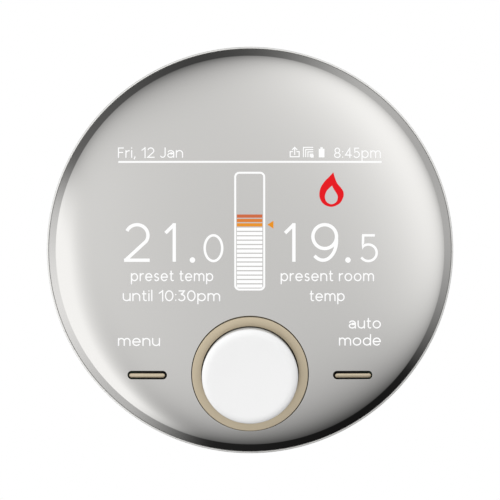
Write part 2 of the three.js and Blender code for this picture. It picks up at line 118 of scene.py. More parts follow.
class Shader:
    """Adds nodes to one material or world."""

    def __init__(self, tree: bpy.types.NodeTree) -> None:
        """Starts with an empty tree."""
        self.tree = tree
        tree.nodes.clear()

    def node(
        self,
        kind: str,
        settings: Optional[dict] = None,
        inputs: Optional[dict[Union[int, str], Input]] = None,
        output: Union[int, str] = 0,
    ) -> Signal:
        """Adds one node.

        Args:
            kind: Blender's node type.
            settings: the node's own properties, set first.
            inputs: values or signals by socket index or name.
            output: which output the returned signal is.

        Returns:
            The chosen output as a signal.
        """
        made = self.tree.nodes.new(kind)
        for name, value in (settings or {}).items():
            setattr(made, name, value)
        for key, value in (inputs or {}).items():
            if isinstance(value, Signal):
                self.tree.links.new(value.socket, made.inputs[key])
            else:
                made.inputs[key].default_value = value
        return Signal(self, made.outputs[output] if len(made.outputs) else made.inputs[0])

    def split(self, vector: Signal) -> list[Signal]:
        """The x, y and z of a vector."""
        parts = self.node("ShaderNodeSeparateXYZ", inputs={0: vector}).socket.node
        return [Signal(self, output) for output in parts.outputs]

    def object_point(self) -> Signal:
        """The shaded point in the object's own metres."""
        return self.node("ShaderNodeTexCoord", output="Object")

    def noise(self, size: float, detail: float = 2.0, stretch: Triple = (1, 1, 1)) -> Signal:
        """Noise around 0.5.

        Args:
            size: the size of its features, in millimetres.
            detail: octaves of finer noise.
            stretch: how many times longer the features are along each axis.

        Returns:
            The noise value.
        """
        scale = [1 / (size * MM * s) for s in stretch]
        point = self.node("ShaderNodeMapping", inputs={0: self.object_point(), 3: scale})
        values = {"Vector": point, "Scale": 1.0, "Detail": detail}
        return self.node("ShaderNodeTexNoise", inputs=values)

    def mix(self, factor: Term, first: Input, second: Input) -> Signal:
        """A colour between first (factor 0) and second (factor 1)."""
        colours = {6: self._opaque(first), 7: self._opaque(second)}
        return self.node("ShaderNodeMix", {"data_type": "RGBA"}, {0: factor, **colours}, output=2)

    @staticmethod
    def _opaque(colour: Input) -> Input:
        """A plain colour with its alpha."""
        return colour if isinstance(colour, Signal) else (*colour, 1.0)

    def ease(self, value: Term, low: float, high: float) -> Signal:
        """A smooth step from 0 at low to 1 at high."""
        settings = {"interpolation_type": "SMOOTHSTEP"}
        return self.node("ShaderNodeMapRange", settings, {0: value, 1: low, 2: high})

    def bump(self, height: Term, depth: float) -> Signal:
        """A bumped normal from a height of 0 to 1 that stands for `depth` millimetres."""
        values = {"Height": height, "Distance": depth * MM, "Strength": 1.0}
        return self.node("ShaderNodeBump", inputs=values)

    def facing(self, direction: Signal, towards: Triple) -> Signal:
        """Cosine of the angle between two unit directions."""
        settings = {"operation": "DOT_PRODUCT"}
        return self.node("ShaderNodeVectorMath", settings, {0: direction, 1: towards}, "Value")


# ---------------------------------------------------------------- finishes


@dataclass(frozen=True)
class Finish:
    """A surface finish that becomes one Blender material.

    A finish varies a little in tone and gloss at the size of `cloud`, and carries a fine relief.
    """

    name: str
    colour: Colour
    roughness: float = 0.5
    metallic: float = 0.0
    tone: float = 0.04
    cloud: float = 12.0
    gloss_change: float = 0.06
    grain: float = 0.2
    relief: float = 0.002

    def material(self) -> bpy.types.Material:
        """The Blender material, made once.

        Returns:
            The material.
        """
        known = bpy.data.materials.get(self.name)
        if known:
            return known
        made = bpy.data.materials.new(self.name)
        made.use_nodes = True
        shader = Shader(made.node_tree)
        surface = shader.node("ShaderNodeBsdfPrincipled", inputs=self.surface(shader))
        shader.node("ShaderNodeOutputMaterial", inputs={"Surface": surface})
        return made

    def surface(self, s: Shader) -> dict[str, Input]:
        """What goes into the Principled shader's sockets.

        Args:
            s: the shader under construction.

        Returns:
            Socket name to value or signal.
        """
        fine = s.noise(self.grain, 3.0)
        return self.sockets(s, fine, fine, 1 + self.tone)

    def sockets(self, s: Shader, gloss: Signal, relief: Signal, lightest: float = 1.0) -> dict[str, Input]:
        """A clouded colour with its gloss and relief.

        Args:
            s: the shader under construction.
            gloss: what the roughness follows.
            relief: what the bump follows.
            lightest: how light the cloud gets, as a share of the colour.

        Returns:
            Socket name to value or signal.
        """
        darker = tuple(c * (1 - self.tone) for c in self.colour)
        lighter = tuple(min(1.0, c * lightest) for c in self.colour)
        return {
            "Base Color": s.mix(s.noise(self.cloud), darker, lighter),
            "Metallic": self.metallic,
            "Roughness": self.roughness + (gloss - 0.5) * self.gloss_change,
            "Normal": s.bump(relief, self.relief),
        }


@dataclass(frozen=True)
class MirrorSilver(Finish):
    """Metallised glossy plastic: a warm silver mirror with the faint waviness of moulded plastic."""

    wave: float = 6.0
    flake: float = 0.09

    def surface(self, s: Shader) -> dict[str, Input]:
        """Silver with a slow waviness and fine flakes in its gloss."""
        return self.sockets(s, s.noise(self.flake), s.noise(self.wave, 1.0))


@dataclass(frozen=True)
class Brushed(Finish):
    """Metal with fine lines along one axis."""

    along: Triple = (30, 1, 1)

    def surface(self, s: Shader) -> dict[str, Input]:
        """Long fine scratches over a slow change of tone."""
        lines = s.noise(self.grain, 2.0, self.along)
        return self.sockets(s, lines, lines)


@dataclass(frozen=True)
class Lit(Finish):
    """Light from the display behind the cover."""

    strength: float = 1.0
    patch: float = 8.0
    dimming: float = 0.03

    def surface(self, s: Shader) -> dict[str, Input]:
        """A dark base that shines evenly, a trace uneven as a backlight is.

        Args:
            s: the shader under construction.

        Returns:
            Socket name to value or signal.
        """
        even = s.noise(self.patch, 1.0)
        dimmer = tuple(c * (1 - self.dimming) for c in self.colour)
        return {
            "Base Color": (0.0, 0.0, 0.0, 1.0),
            "Roughness": 0.6,
            "Specular IOR Level": 0.0,
            "Emission Color": s.mix(even, dimmer, self.colour),
            "Emission Strength": self.strength,
        }


@dataclass(frozen=True)
class Laminate(Finish):
    """A circuit board: solder mask with the tracks and tinned pads under it."""

    track_pitch: float = 1.27
    pad_pitch: float = 3.2
    zone: float = 9.0
    over_copper: float = 1.7
    tin: Colour = (0.62, 0.6, 0.55)

    def surface(self, s: Shader) -> dict[str, Input]:
        """Tracks that run across in some zones and upwards in the others, with pads among them.

        Args:
            s: the shader under construction.

        Returns:
            Socket name to value or signal.
        """
        point = s.object_point()
        across, _, upward = s.split(point)
        zone = s.noise(self.zone, 0.0) > 0.5
        lanes = zone * across + (1 - zone) * upward
        turns = lanes * (2 * math.pi / (self.track_pitch * MM))
        track = s.ease(s.node("ShaderNodeMath", {"operation": "SINE"}, {0: turns}), 0.35, 0.5)
        cells = {"Vector": point, "Scale": 1 / (self.pad_pitch * MM), "Randomness": 0.35}
        pad = s.ease(s.node("ShaderNodeTexVoronoi", {"feature": "F1"}, cells), 0.16, 0.12)
        mask = s.mix(track, self.colour, tuple(c * self.over_copper for c in self.colour))
        return {
            "Base Color": s.mix(pad, mask, self.tin),
            "Metallic": pad,
            "Roughness": self.roughness - pad * 0.15,
            "Normal": s.bump(track + pad, self.relief),
        }


@dataclass(frozen=True)
class Jacket(Finish):
    """The printed jacket of a dry cell, with a copper band towards its raised end."""

    band_at: float = 13.0
    line_width: float = 1.0
    side: int = 1
    pale: Colour = (0.7, 0.7, 0.68)
    copper: Colour = (0.55, 0.25, 0.1)

    def surface(self, s: Shader) -> dict[str, Input]:
        """A dark sleeve, a copper end and a thin light line between them.

        Args:
            s: the shader under construction.

        Returns:
            Socket name to value or signal.
        """
        along = s.split(s.object_point())[0] * self.side
        line_at = self.band_at - self.line_width
        band, line = (s.ease(along, at * MM, (at + 0.1) * MM) for at in (self.band_at, line_at))
        fine = s.noise(0.3)
        return {
            "Base Color": s.mix(band, s.mix(line, self.colour, self.pale), self.copper),
            "Metallic": 0.2 + band * 0.6,
            "Roughness": self.roughness + (fine - 0.5) * 0.08,
            "Normal": s.bump(fine, self.relief),
        }


SILVER = MirrorSilver("cover_silver", (0.635, 0.627, 0.612), 0.12, 1.0, 0.012, 25.0, 0.02, relief=0.003)
CASE = Finish("case_silver_paint", (0.7, 0.695, 0.68), 0.32, 0.5, 0.02, 6.0, 0.04, 0.12, 0.003)
PLATE = Finish("plate_white_plastic", (0.74, 0.74, 0.73), 0.55, tone=0.02, grain=0.16, relief=0.004)
GOLD = Finish("champagne_gold", (0.6, 0.515, 0.375), 0.42, 0.8, 0.03, 6.0, 0.05, 0.08, 0.001)
WHITE = Finish("dial_white", (0.68, 0.68, 0.68), 0.22, tone=0.008, cloud=6.0, grain=0.3, relief=0.0006)
COLLAR = Finish("collar_grey", (0.45, 0.45, 0.44), 0.4, tone=0.08, cloud=3.0)
BLACK = Finish("black_plastic", (0.02, 0.02, 0.022), 0.5, tone=0.1, grain=0.15, relief=0.003)
IVORY = Finish("ivory_plastic", (0.7, 0.66, 0.54), 0.45, tone=0.03)
ZINC = Brushed("zinc_screw_steel", (0.58, 0.59, 0.6), 0.32, 1.0, 0.08, 1.5, 0.12, 0.1, 0.002)
NICKEL = Brushed("nickel_contact", (0.66, 0.64, 0.6), 0.25, 1.0, 0.06, 3.0, 0.1, 0.1, 0.002, (1, 1, 25))
CAN = Brushed("tinned_can", (0.55, 0.56, 0.57), 0.33, 1.0, 0.06, 4.0, 0.12, 0.12, 0.003)
BRASS = Finish("turned_brass", (0.6, 0.46, 0.2), 0.3, 1.0, 0.06, 3.0)
SHAFT = Brushed("turned_shaft", (0.6, 0.6, 0.61), 0.28, 1.0, 0.05, 3.0, 0.1, 0.1, 0.002, (25, 1, 1))
BOARD = Laminate("board_green", (0.012, 0.10, 0.045), 0.4, relief=0.03)
CLEAR = Finish("light_guide_acrylic", (0.8, 0.83, 0.84), 0.12, tone=0.03, cloud=5.0)
GLASS = Finish("display_glass_dark", (0.015, 0.017, 0.02), 0.08, tone=0.15, cloud=10.0, gloss_change=0.02)
RIBBON = Brushed("ribbon_amber", (0.42, 0.17, 0.03), 0.4, 0.0, 0.2, 1.0, 0.1, 0.25, 0.01, (1, 1, 40))
SLEEVE = Finish("capacitor_sleeve", (0.03, 0.035, 0.06), 0.35, tone=0.1)
JACKET_RIGHT = Jacket("cell_jacket_right", (0.03, 0.033, 0.038), 0.32, side=1)
JACKET_LEFT = Jacket("cell_jacket_left", (0.03, 0.033, 0.038), 0.32, side=-1)
FLOOR = Finish("floor_pale", (0.8, 0.8, 0.8), 0.7, cloud=200.0, grain=1.0)
LIT_WHITE = Lit("lit_white", (1.0, 1.0, 1.0), strength=1.02)
LIT_RED = Lit("lit_red", (0.81, 0.0145, 0.0195))
LIT_POINTER = Lit("lit_orange", (0.83, 0.30, 0.022))
WARM = ((0.64, 0.157, 0.065), (0.745, 0.227, 0.048), (0.831, 0.305, 0.032))


# ---------------------------------------------------------------- mesh building


@dataclass(frozen=True)
class Place:
    """A frame for meshes: `height` runs outwards along its axis, which leans down by `tilt`."""

    origin: tuple[float, float, float] = (0.0, 0.0, 0.0)
    tilt: float = 0.0

    def at(self, x: float, height: float, z: float) -> Vector:
        """The point in metres for millimetres across, outwards and up.

        Args:
            x: distance across.
            height: distance outwards.
            z: distance up.

        Returns:
            The point.
        """
        c, s = math.cos(self.tilt), math.sin(self.tilt)
        ox, oy, oz = self.origin
        return Vector((ox + x, oy - height * c - z * s, oz - height * s + z * c)) * MM


WORLD = Place()


def arc_points(
    cx: float, cy: float, rx: float, start: float, end: float, steps: int, ry: float = 0
) -> list[Flat]:
    """Points on an arc, or on a part of an oval.

    Args:
        cx: centre across.
        cy: centre up.
        rx: radius, or half of an oval's width.
        start: first angle in degrees.
        end: last angle in degrees.
        steps: number of chords.
        ry: half of an oval's height.

    Returns:
        steps + 1 points.
    """
    angles = [math.radians(start + (end - start) * i / steps) for i in range(steps + 1)]
    return [(cx + rx * math.cos(a), cy + (ry or rx) * math.sin(a)) for a in angles]


def rounded_rect(w: float, h: float, r: float, x: float = 0, z: float = 0, steps: int = 8) -> list[Flat]:
    """The outline of a rectangle with rounded corners, anticlockwise, centred on (x, z).

    Args:
        w: its width.
        h: its height.
        r: radius of its corners.
        x: its middle across.
        z: its middle up.
        steps: chords in each corner.

    Returns:
        The outline.
    """
    right, left, high, low = x + w / 2 - r, x - w / 2 + r, z + h / 2 - r, z - h / 2 + r
    corners = [(right, low, -90), (right, high, 0), (left, high, 90), (left, low, 180)]
    points: list[Flat] = []
    for cx, cz, start in corners:
        points += arc_points(cx, cz, r, start, start + 90, steps)
    return points


def rectangle(w: float, h: float, x: float, z: float) -> list[Flat]:
    """The outline of a rectangle centred on (x, z)."""
    return [(x - w / 2, z - h / 2), (x + w / 2, z - h / 2), (x + w / 2, z + h / 2), (x - w / 2, z + h / 2)]


def rounded(profile: Sequence[Flat], radius: float, steps: int = 4) -> list[Flat]:
    """A closed profile with each corner off the axis rounded.

    Args:
        profile: corners as (radius, height).
        radius: rounding radius, made smaller where a side is short.
        steps: chords in each rounding.

    Returns:
        The new profile.
    """
    points: list[Flat] = []
    count = len(profile)
    for i, corner in enumerate(profile):
        here = Vector(corner)
        before = Vector(profile[i - 1]) - here
        after = Vector(profile[(i + 1) % count]) - here
        if corner[0] <= TINY:
            points.append(corner)
            continue
        turn = math.pi - before.angle(after)
        reach = min(radius * math.tan(turn / 2), before.length * 0.45, after.length * 0.45)
        if turn < math.radians(20):
            points.append(corner)
            continue
        a = here + before.normalized() * reach
        b = here + after.normalized() * reach
        for k in range(steps + 1):
            t = k / steps
            p = a * (1 - t) ** 2 + here * 2 * t * (1 - t) + b * t**2
            points.append((p.x, p.y))
    return points


def add_object(name: str, data: bpy.types.ID) -> bpy.types.Object:
    """Puts a new object in the scene.

    Args:
        name: its name.
        data: its mesh, light or camera.

    Returns:
        The object.
    """
    made = bpy.data.objects.new(name, data)
    bpy.context.scene.collection.objects.link(made)
    return made


class Form:
    """A mesh under construction, in metres."""

    def __init__(self) -> None:
        """Starts empty."""
        self.mesh = bmesh.new()

    @classmethod
    def turned(
        cls,
        profile: Sequence[Flat],
        steps: int = 96,
        place: Place = WORLD,
        x: float = 0.0,
        z: float = 0.0,
    ) -> "Form":
        """A closed solid turned about an axis.

        Args:
            profile: a closed outline of (radius, height); points on the axis are shared.
            steps: facets round the axis.
            place: frame whose height axis it turns about.
            x: the axis's distance across.
            z: the axis's distance up.

        Returns:
            The solid.
        """
        form = cls()
        vertex = form.mesh.verts.new
        turns = [(math.cos(2 * math.pi * i / steps), math.sin(2 * math.pi * i / steps)) for i in range(steps)]
        rings = []
        for r, height in profile:
            if r < TINY:
                rings.append([vertex(place.at(x, height, z))] * steps)
            else:
                rings.append([vertex(place.at(x + r * c, height, z + r * s)) for c, s in turns])
        for near, far in zip(rings, rings[1:] + rings[:1]):
            for i in range(steps):
                j = (i + 1) % steps
                corners = list(dict.fromkeys((near[i], near[j], far[j], far[i])))
                if len(corners) > 2:
                    form.mesh.faces.new(corners)
        return form.outward()

    @classmethod
    def prism(cls, outline: Sequence[Flat], low: float, high: float, place: Place = WORLD) -> "Form":
        """A flat outline made solid between two heights.

        Args:
            outline: points across and up.
            low: first height.
            high: second height.
            place: the frame it is made in.

        Returns:
            The solid.
        """
        form = cls()
        ends = [[form.mesh.verts.new(place.at(x, h, z)) for x, z in outline] for h in (low, high)]
        for end in ends:
            form.mesh.faces.new(end)
        for i in range(len(outline)):
            j = (i + 1) % len(outline)
            form.mesh.faces.new((ends[0][i], ends[0][j], ends[1][j], ends[1][i]))
        return form.outward()

    @classmethod
    def loft(cls, rows: Sequence[Sequence[Vector]], lids: Sequence[int] = ()) -> "Form":
        """A skin over closed rows of points in metres.

        Args:
            rows: rows with the same number of points.
            lids: which rows are filled in.

        Returns:
            The skin.
        """
        form = cls()
        made = [[form.mesh.verts.new(p) for p in row] for row in rows]
        count = len(made[0])
        for near, far in zip(made, made[1:]):
            for i in range(count):
                j = (i + 1) % count
                form.mesh.faces.new((near[i], near[j], far[j], far[i]))
        for lid in lids:
            form.mesh.faces.new(made[lid])
        return form.outward() if lids else form

    def outward(self) -> "Form":
        """Turns every face outwards."""
        bmesh.ops.recalc_face_normals(self.mesh, faces=self.mesh.faces)
        return self

    def join(self, *others: "Form") -> "Form":
        """Adds the other forms' faces to this one, and empties them.

        Args:
            others: the forms to take in.

        Returns:
            This form.
        """
        for other in others:
            data = other.finished("joining")
            self.mesh.from_mesh(data)
            bpy.data.meshes.remove(data)
        return self

    def finished(self, name: str) -> bpy.types.Mesh:
        """The form as mesh data. The form itself is used up.

        Args:
            name: the mesh's name.

        Returns:
            The mesh data.
        """
        data = bpy.data.meshes.new(name)
        self.mesh.to_mesh(data)
        self.mesh.free()
        return data

    def turn(self, matrix: Matrix) -> "Form":
        """Moves every vertex by a matrix in metres."""
        bmesh.ops.transform(self.mesh, matrix=matrix, verts=self.mesh.verts)
        return self

    def cut(self, *tools: "Form") -> "Form":
        """Takes the tools' volumes away.

        Args:
            tools: closed forms that don't overlap each other.

        Returns:
            This form.
        """
        base = add_object("base", self.finished("base"))
        tool = add_object("tool", Form().join(*tools).finished("tool"))
        modifier = base.modifiers.new("cut", "BOOLEAN")
        modifier.operation, modifier.solver, modifier.object = "DIFFERENCE", "EXACT", tool
        view = bpy.context.evaluated_depsgraph_get()
        cut = bpy.data.meshes.new_from_object(base.evaluated_get(view))
        self.mesh = bmesh.new()
        self.mesh.from_mesh(cut)
        for data in (base.data, tool.data, cut):
            bpy.data.meshes.remove(data)
        return self

    def piece(
        self,
        name: str,
        finish: Finish,
        body: str,
        replaces: Iterable[str] = (),
        slot: Optional[str] = None,
        crease: float = 32.0,
    ) -> bpy.types.Object:
        """Turns the form into a finished piece.

        Args:
            name: the piece's name.
            finish: its finish.
            body: the CAD body that it rides on.
            replaces: the CAD nodes it stands for.
            slot: the record's material slot, if one fits; not used.
            crease: edges sharper than this many degrees stay sharp.

        Returns:
            The object.
        """
        for face in self.mesh.faces:
            face.smooth = True
        for edge in self.mesh.edges:
            edge.smooth = len(edge.link_faces) == 2 and edge.calc_face_angle(0) < math.radians(crease)
        made = add_object(name, self.finished(name))
        made.data.materials.append(finish.material())
        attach(made, body)
        if replaces:
            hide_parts(*replaces)
        return made


CLIP_ANGLES = (90, 210, 330)
WALL_SCREW_X = 30.15
DIAL_SCREW_X = 11.5
CELL_DEPTH = 10.35
CASE_SCREW_PLACES: tuple[Flat, ...] = ((18, 37.5), (-18, 37.5), (-18, -37.5), (18, -37.5))
BOARD_SCREW_PLACES: tuple[Flat, ...] = ((38.5, -17), (-38.5, -17), (11, 33.5))


def tube(
    x: float,
    z: float,
    outer: float,
    inner: float,
    low: float,
    high: float,
    place: Place = WORLD,
    steps: int = 48,
) -> Form:
    """A hollow post between two heights, or a solid one where `inner` is 0."""
    return Form.turned([(inner, low), (outer, low), (outer, high), (inner, high)], steps, place, x, z)


def radial_block(angle: float, r: float, thick: float, width: float, low: float, high: float) -> Form:
    """A block whose inner face is r from the axis, in the direction `angle`.

    Args:
        angle: its direction in degrees.
        r: distance of its inner face from the axis.
        thick: size away from the axis.
        width: size across that direction.
        low: first height.
        high: second height.

    Returns:
        The block.
    """
    a = math.radians(angle)
    c, s = math.cos(a), math.sin(a)
    corners = rectangle(thick, width, r + thick / 2, 0)
    return Form.prism([(u * c - v * s, u * s + v * c) for u, v in corners], low, high)


# ---------------------------------------------------------------- the dome


@dataclass(frozen=True)
class Dome:
    """The front cover's flattened dome: a curve that would run out to `radius`, ended by a straight bevel."""

    radius: float = 49.65
    edge: float = 49.45
    foot: float = 19.55
    height: float = 10.65
    power: float = 2.315
    bevel_from: float = 47.75
    bevel_slope: float = 1.237

    def depth(self, r: float) -> float:
        """Depth of the face at distance r from the axis.

        Args:
            r: distance from the axis.

        Returns:
            Millimetres in front of the wall.
        """
        share = min(r, self.bevel_from) / self.radius
        rise = self.height * math.sqrt(max(0.0, 1 - share**self.power))
        return self.foot + rise - self.bevel_slope * max(0.0, r - self.bevel_from)

    def point(self, x: float, z: float, lift: float = 0.0) -> Vector:
        """The point on the face at (x, z), in metres, lifted towards the room."""
        return WORLD.at(x, self.depth(math.hypot(x, z)) + lift, z)

    def normal(self, x: float, z: float, on_bevel: bool = False) -> Vector:
        """The face's outward normal at (x, z), on the curve or on the bevel.

        Args:
            x: distance across.
            z: distance up.
            on_bevel: whether the point belongs to the bevel.

        Returns:
            A unit vector.
        """
        r = math.hypot(x, z)
        if r < TINY:
            return Vector((0, -1, 0))
        share = min(r, self.bevel_from) / self.radius
        slope = self.height * self.power / 2 * share ** (self.power - 1) / self.radius
        slope = self.bevel_slope if on_bevel else slope / math.sqrt(1 - share**self.power)
        return Vector((slope * x / r, -1, slope * z / r)).normalized()

    def profile(self, steps: int) -> list[Flat]:
        """(radius, depth) points down the dome, closer where it bends.

        Args:
            steps: chords on the curve.

        Returns:
            The points, from the axis out.
        """
        out = min(self.edge, self.bevel_from)
        radii = [out * math.sin(math.pi / 2 * i / steps) for i in range(steps + 1)]
        if self.edge > out:
            radii.append(self.edge)
        return [(r, self.depth(r)) for r in radii]


@dataclass
class FrontCover:
    """The silver cover, with rolled edges round the dial's hole and the key slots."""

    dome: Dome
    dial: Place
    wall: float = 1.8
    skirt: float = 18.2
    hole: float = 14.4
    slot_size: Flat = (9.7, 2.05)
    slot_centre: Flat = (25.2, -30.7)
    slot_cut: Flat = (20.0, 32.0)
    hole_cut: float = 8.0
    roll: float = 0.07
    edge_depth: float = 1.7
    post_radii: Flat = (2.8, 1.3)
    post_foot: float = 12.3

    def build(self) -> list[bpy.types.Object]:
        """Builds the cover.

        Returns:
            The finished piece.
        """
        inside = self.dome.edge - self.wall
        inner = Dome(inside, inside, self.dome.foot, self.dome.height - self.wall)
        rim = [(self.dome.edge, self.skirt), (inside, self.skirt)]
        form = Form.turned(self.dome.profile(80) + rim + inner.profile(24)[::-1], 256)
        slots = [Form.prism(self._slot(side, self.roll), *self.slot_cut) for side in (-1, 1)]
        form.cut(tube(0, 0, self.hole + self.roll, 0, -self.hole_cut, self.hole_cut, self.dial, 192), *slots)
        form.join(self._hole_roll(), self._slot_roll(-1), self._slot_roll(1))
        outer, bore = self.post_radii
        for x, z in CASE_SCREW_PLACES:
            top = inner.depth(math.hypot(x, z) + outer) + 0.2
            form.join(tube(x, z, outer, bore, self.post_foot, top))
        cover = form.piece("front_cover_dome", SILVER, "head", ["front_cover"], "silver_cover", 40)
        self._true_normals(cover)
        return [cover]

    def _slot(self, side: int, grow: float) -> list[Flat]:
        """The outline of a key slot, grown all round.

        Args:
            side: -1 on the left and 1 on the right.
            grow: how much wider than the slot on each side.

        Returns:
            The outline.
        """
        w, h = (size + 2 * grow for size in self.slot_size)
        x, z = self.slot_centre
        return rounded_rect(w, h, h / 2 - 1e-4, side * x, z, 12)

    def _rolls(self, point: Callable[[float, float], list[Vector]]) -> Form:
        """A rolled edge and the wall below it.

        Args:
            point: gives a closed row of points for an outward offset and a depth below the face.

        Returns:
            The open skin.
        """
        quarter = [math.pi / 2 * i / 5 for i in range(6)]
        rows = [point(self.roll * (1 - math.sin(a)), self.roll * (1 - math.cos(a))) for a in quarter]
        form = Form.loft([*rows, point(0.0, self.edge_depth)])
        bmesh.ops.reverse_faces(form.mesh, faces=form.mesh.faces)
        return form

    def _slot_roll(self, side: int) -> Form:
        """The rolled edge of a key slot.

        Args:
            side: -1 on the left and 1 on the right.

        Returns:
            The open skin.
        """

        def row(offset: float, depth: float) -> list[Vector]:
            """The slot's outline on the dome."""
            return [self.dome.point(x, z, -depth) for x, z in self._slot(side, offset)]

        return self._rolls(row)

    def _hole_roll(self) -> Form:
        """The rolled edge of the dial's hole, which follows the dome.

        Returns:
            The open skin.
        """

        def row(offset: float, depth: float) -> list[Vector]:
            """A circle about the dial's axis, dropped onto the dome."""
            circle = arc_points(0, 0, self.hole + offset, 0, 360, 192)[:-1]
            return [self._drop(x, z, depth) for x, z in circle]

        return self._rolls(row)

    def _drop(self, x: float, z: float, depth: float) -> Vector:
        """The point of the dial's frame over (x, z) where it meets the dome, and then deeper by `depth`.

        Args:
            x: distance across in the dial's frame.
            z: distance up in the dial's frame.
            depth: how far below the dome.

        Returns:
            The point in metres.
        """
        low, high = -6.0, 6.0
        for _ in range(30):
            middle = (low + high) / 2
            point = self.dial.at(x, middle, z) / MM
            if -point.y > self.dome.depth(math.hypot(point.x, point.z)):
                high = middle
            else:
                low = middle
        return self.dial.at(x, low - depth, z)

    def _true_normals(self, cover: bpy.types.Object) -> None:
        """Gives the dome's outer face the normals of the true curve, so that reflections run smoothly.

        Args:
            cover: the finished cover.
        """
        data = cover.data
        normals = [Vector(n.vector) for n in data.corner_normals]
        for face in data.polygons:
            points = [data.vertices[v].co / MM for v in face.vertices]
            on_dome = all(abs(-p.y - self.dome.depth(math.hypot(p.x, p.z))) < 0.004 for p in points)
            if not on_dome or face.normal.y > -0.02:
                continue
            on_bevel = math.hypot(face.center.x, face.center.z) / MM > self.dome.bevel_from
            for corner, p in zip(face.loop_indices, points):
                normals[corner] = self.dome.normal(p.x, p.z, on_bevel)
        data.normals_split_custom_set(normals)


@dataclass
class RearCover:
    """The silver-painted cover behind, with the lip round the dome, the vents and the cell bay."""

    dial: Place
    radius: float = 50.0
    lip: float = 0.45
    rim_depth: float = 20.0
    back: float = 0.8
    edge_radius: float = 45.8
    side_depth: float = 13.0
    recess_radius: float = 37.5
    recess_floor: float = 2.9
    wall: float = 1.5
    inner_radius: float = 48.0
    bay_size: Flat = (56.0, 30.0)
    bay_middle: float = 4.0
    bay_roof: float = 18.0
    bay_wall: float = 1.2
    vents: int = 9
    vent_pitch: float = 4.5
    lip_round: float = 0.3
    board_depth: float = 19.3
    case_post: tuple[float, ...] = (3.3, 1.4, 1.9, 12.0)
    board_post: Flat = (2.5, 1.0)
    dial_post: tuple[float, ...] = (2.6, 1.0, -24.2, -20.2)
    clip_pocket: tuple[float, ...] = (32.5, 2.9, 10.0, 1.0, 6.0)
    vent: tuple[float, ...] = (42.5, 12.0, 1.5, 5.0, 12.0)
    screw_sink: float = 2.6

    def _side(self, r0: float, r1: float, d0: float, d1: float, steps: int) -> list[Flat]:
        """A quarter ellipse from the flat back to the full radius.

        Args:
            r0: first radius.
            r1: last radius.
            d0: first depth.
            d1: last depth.
            steps: number of chords.

        Returns:
            The points.
        """
        angles = [math.pi / 2 * i / steps for i in range(steps + 1)]
        return [(r0 + (r1 - r0) * math.sin(a), d1 - (d1 - d0) * math.cos(a)) for a in angles]

    def _shell(self) -> Form:
        """The turned shell without its openings.

        Returns:
            The solid.
        """
        floor = self.recess_floor + self.wall
        inside = self.back + 1.8
        lip = self.radius - self.lip
        outer = self._side(self.edge_radius, self.radius, self.back, self.side_depth, 24)
        inner = self._side(self.edge_radius - 1.9, self.inner_radius, inside, self.side_depth, 10)[::-1]
        soft, fine = self.lip_round, 0.12
        recess, step = self.recess_radius, self.recess_radius + self.wall
        profile = [(0, self.recess_floor), (recess, self.recess_floor), (recess, self.back), *outer]
        profile += arc_points(self.radius - soft, self.rim_depth - soft, soft, 0, 90, 8)
        profile += arc_points(lip + fine, self.rim_depth - fine, fine, 90, 180, 4)
        profile += [(lip, self.rim_depth - 2), (self.inner_radius, self.rim_depth - 2), *inner]
        profile += [(step, inside), (step, floor), (0, floor)]
        return Form.turned(profile, 240)

    def build(self) -> list[bpy.types.Object]:
        """Builds the cover and its cell bay.

        Returns:
            The finished pieces.
        """
        (bay_w, bay_h), bay_z, wall = self.bay_size, self.bay_middle, 2 * self.bay_wall
        cells = rounded_rect(bay_w, bay_h, 0.6, 0, bay_z)
        shell = self._shell().cut(
            Form.prism(cells, 1, 6),
            *[radial_block(a, *self.clip_pocket) for a in CLIP_ANGLES],
            *[tube(x, z, self.screw_sink, 0, 0, self.screw_sink) for x, z in CASE_SCREW_PLACES],
        )
        fan = [(i - (self.vents - 1) / 2) * self.vent_pitch for i in range(self.vents)]
        shell.cut(*[radial_block(middle + a, *self.vent) for middle in (90, 270) for a in fan])
        shell.join(*[tube(x, z, *self.case_post) for x, z in CASE_SCREW_PLACES])
        for x, z in BOARD_SCREW_PLACES:
            foot = self.recess_floor + 1.2 if abs(x) < self.recess_radius else self.back + 1.8
            shell.join(tube(x, z, *self.board_post, foot, self.board_depth))
        for x in (-DIAL_SCREW_X, DIAL_SCREW_X):
            shell.join(tube(x, 0, *self.dial_post, self.dial))
        walls = Form.prism(rounded_rect(bay_w + wall, bay_h + wall, 1.5, 0, bay_z), 3.9, self.bay_roof + 1)
        walls.cut(Form.prism(cells, 1, self.bay_roof))
        return [
            shell.piece("rear_cover_shell", CASE, "head", ["rear_cover"], "case_plastic", 30),
            walls.piece("battery_bay", CASE, "head", (), "case_plastic", 30),
        ]


# ---------------------------------------------------------------- dial and keys


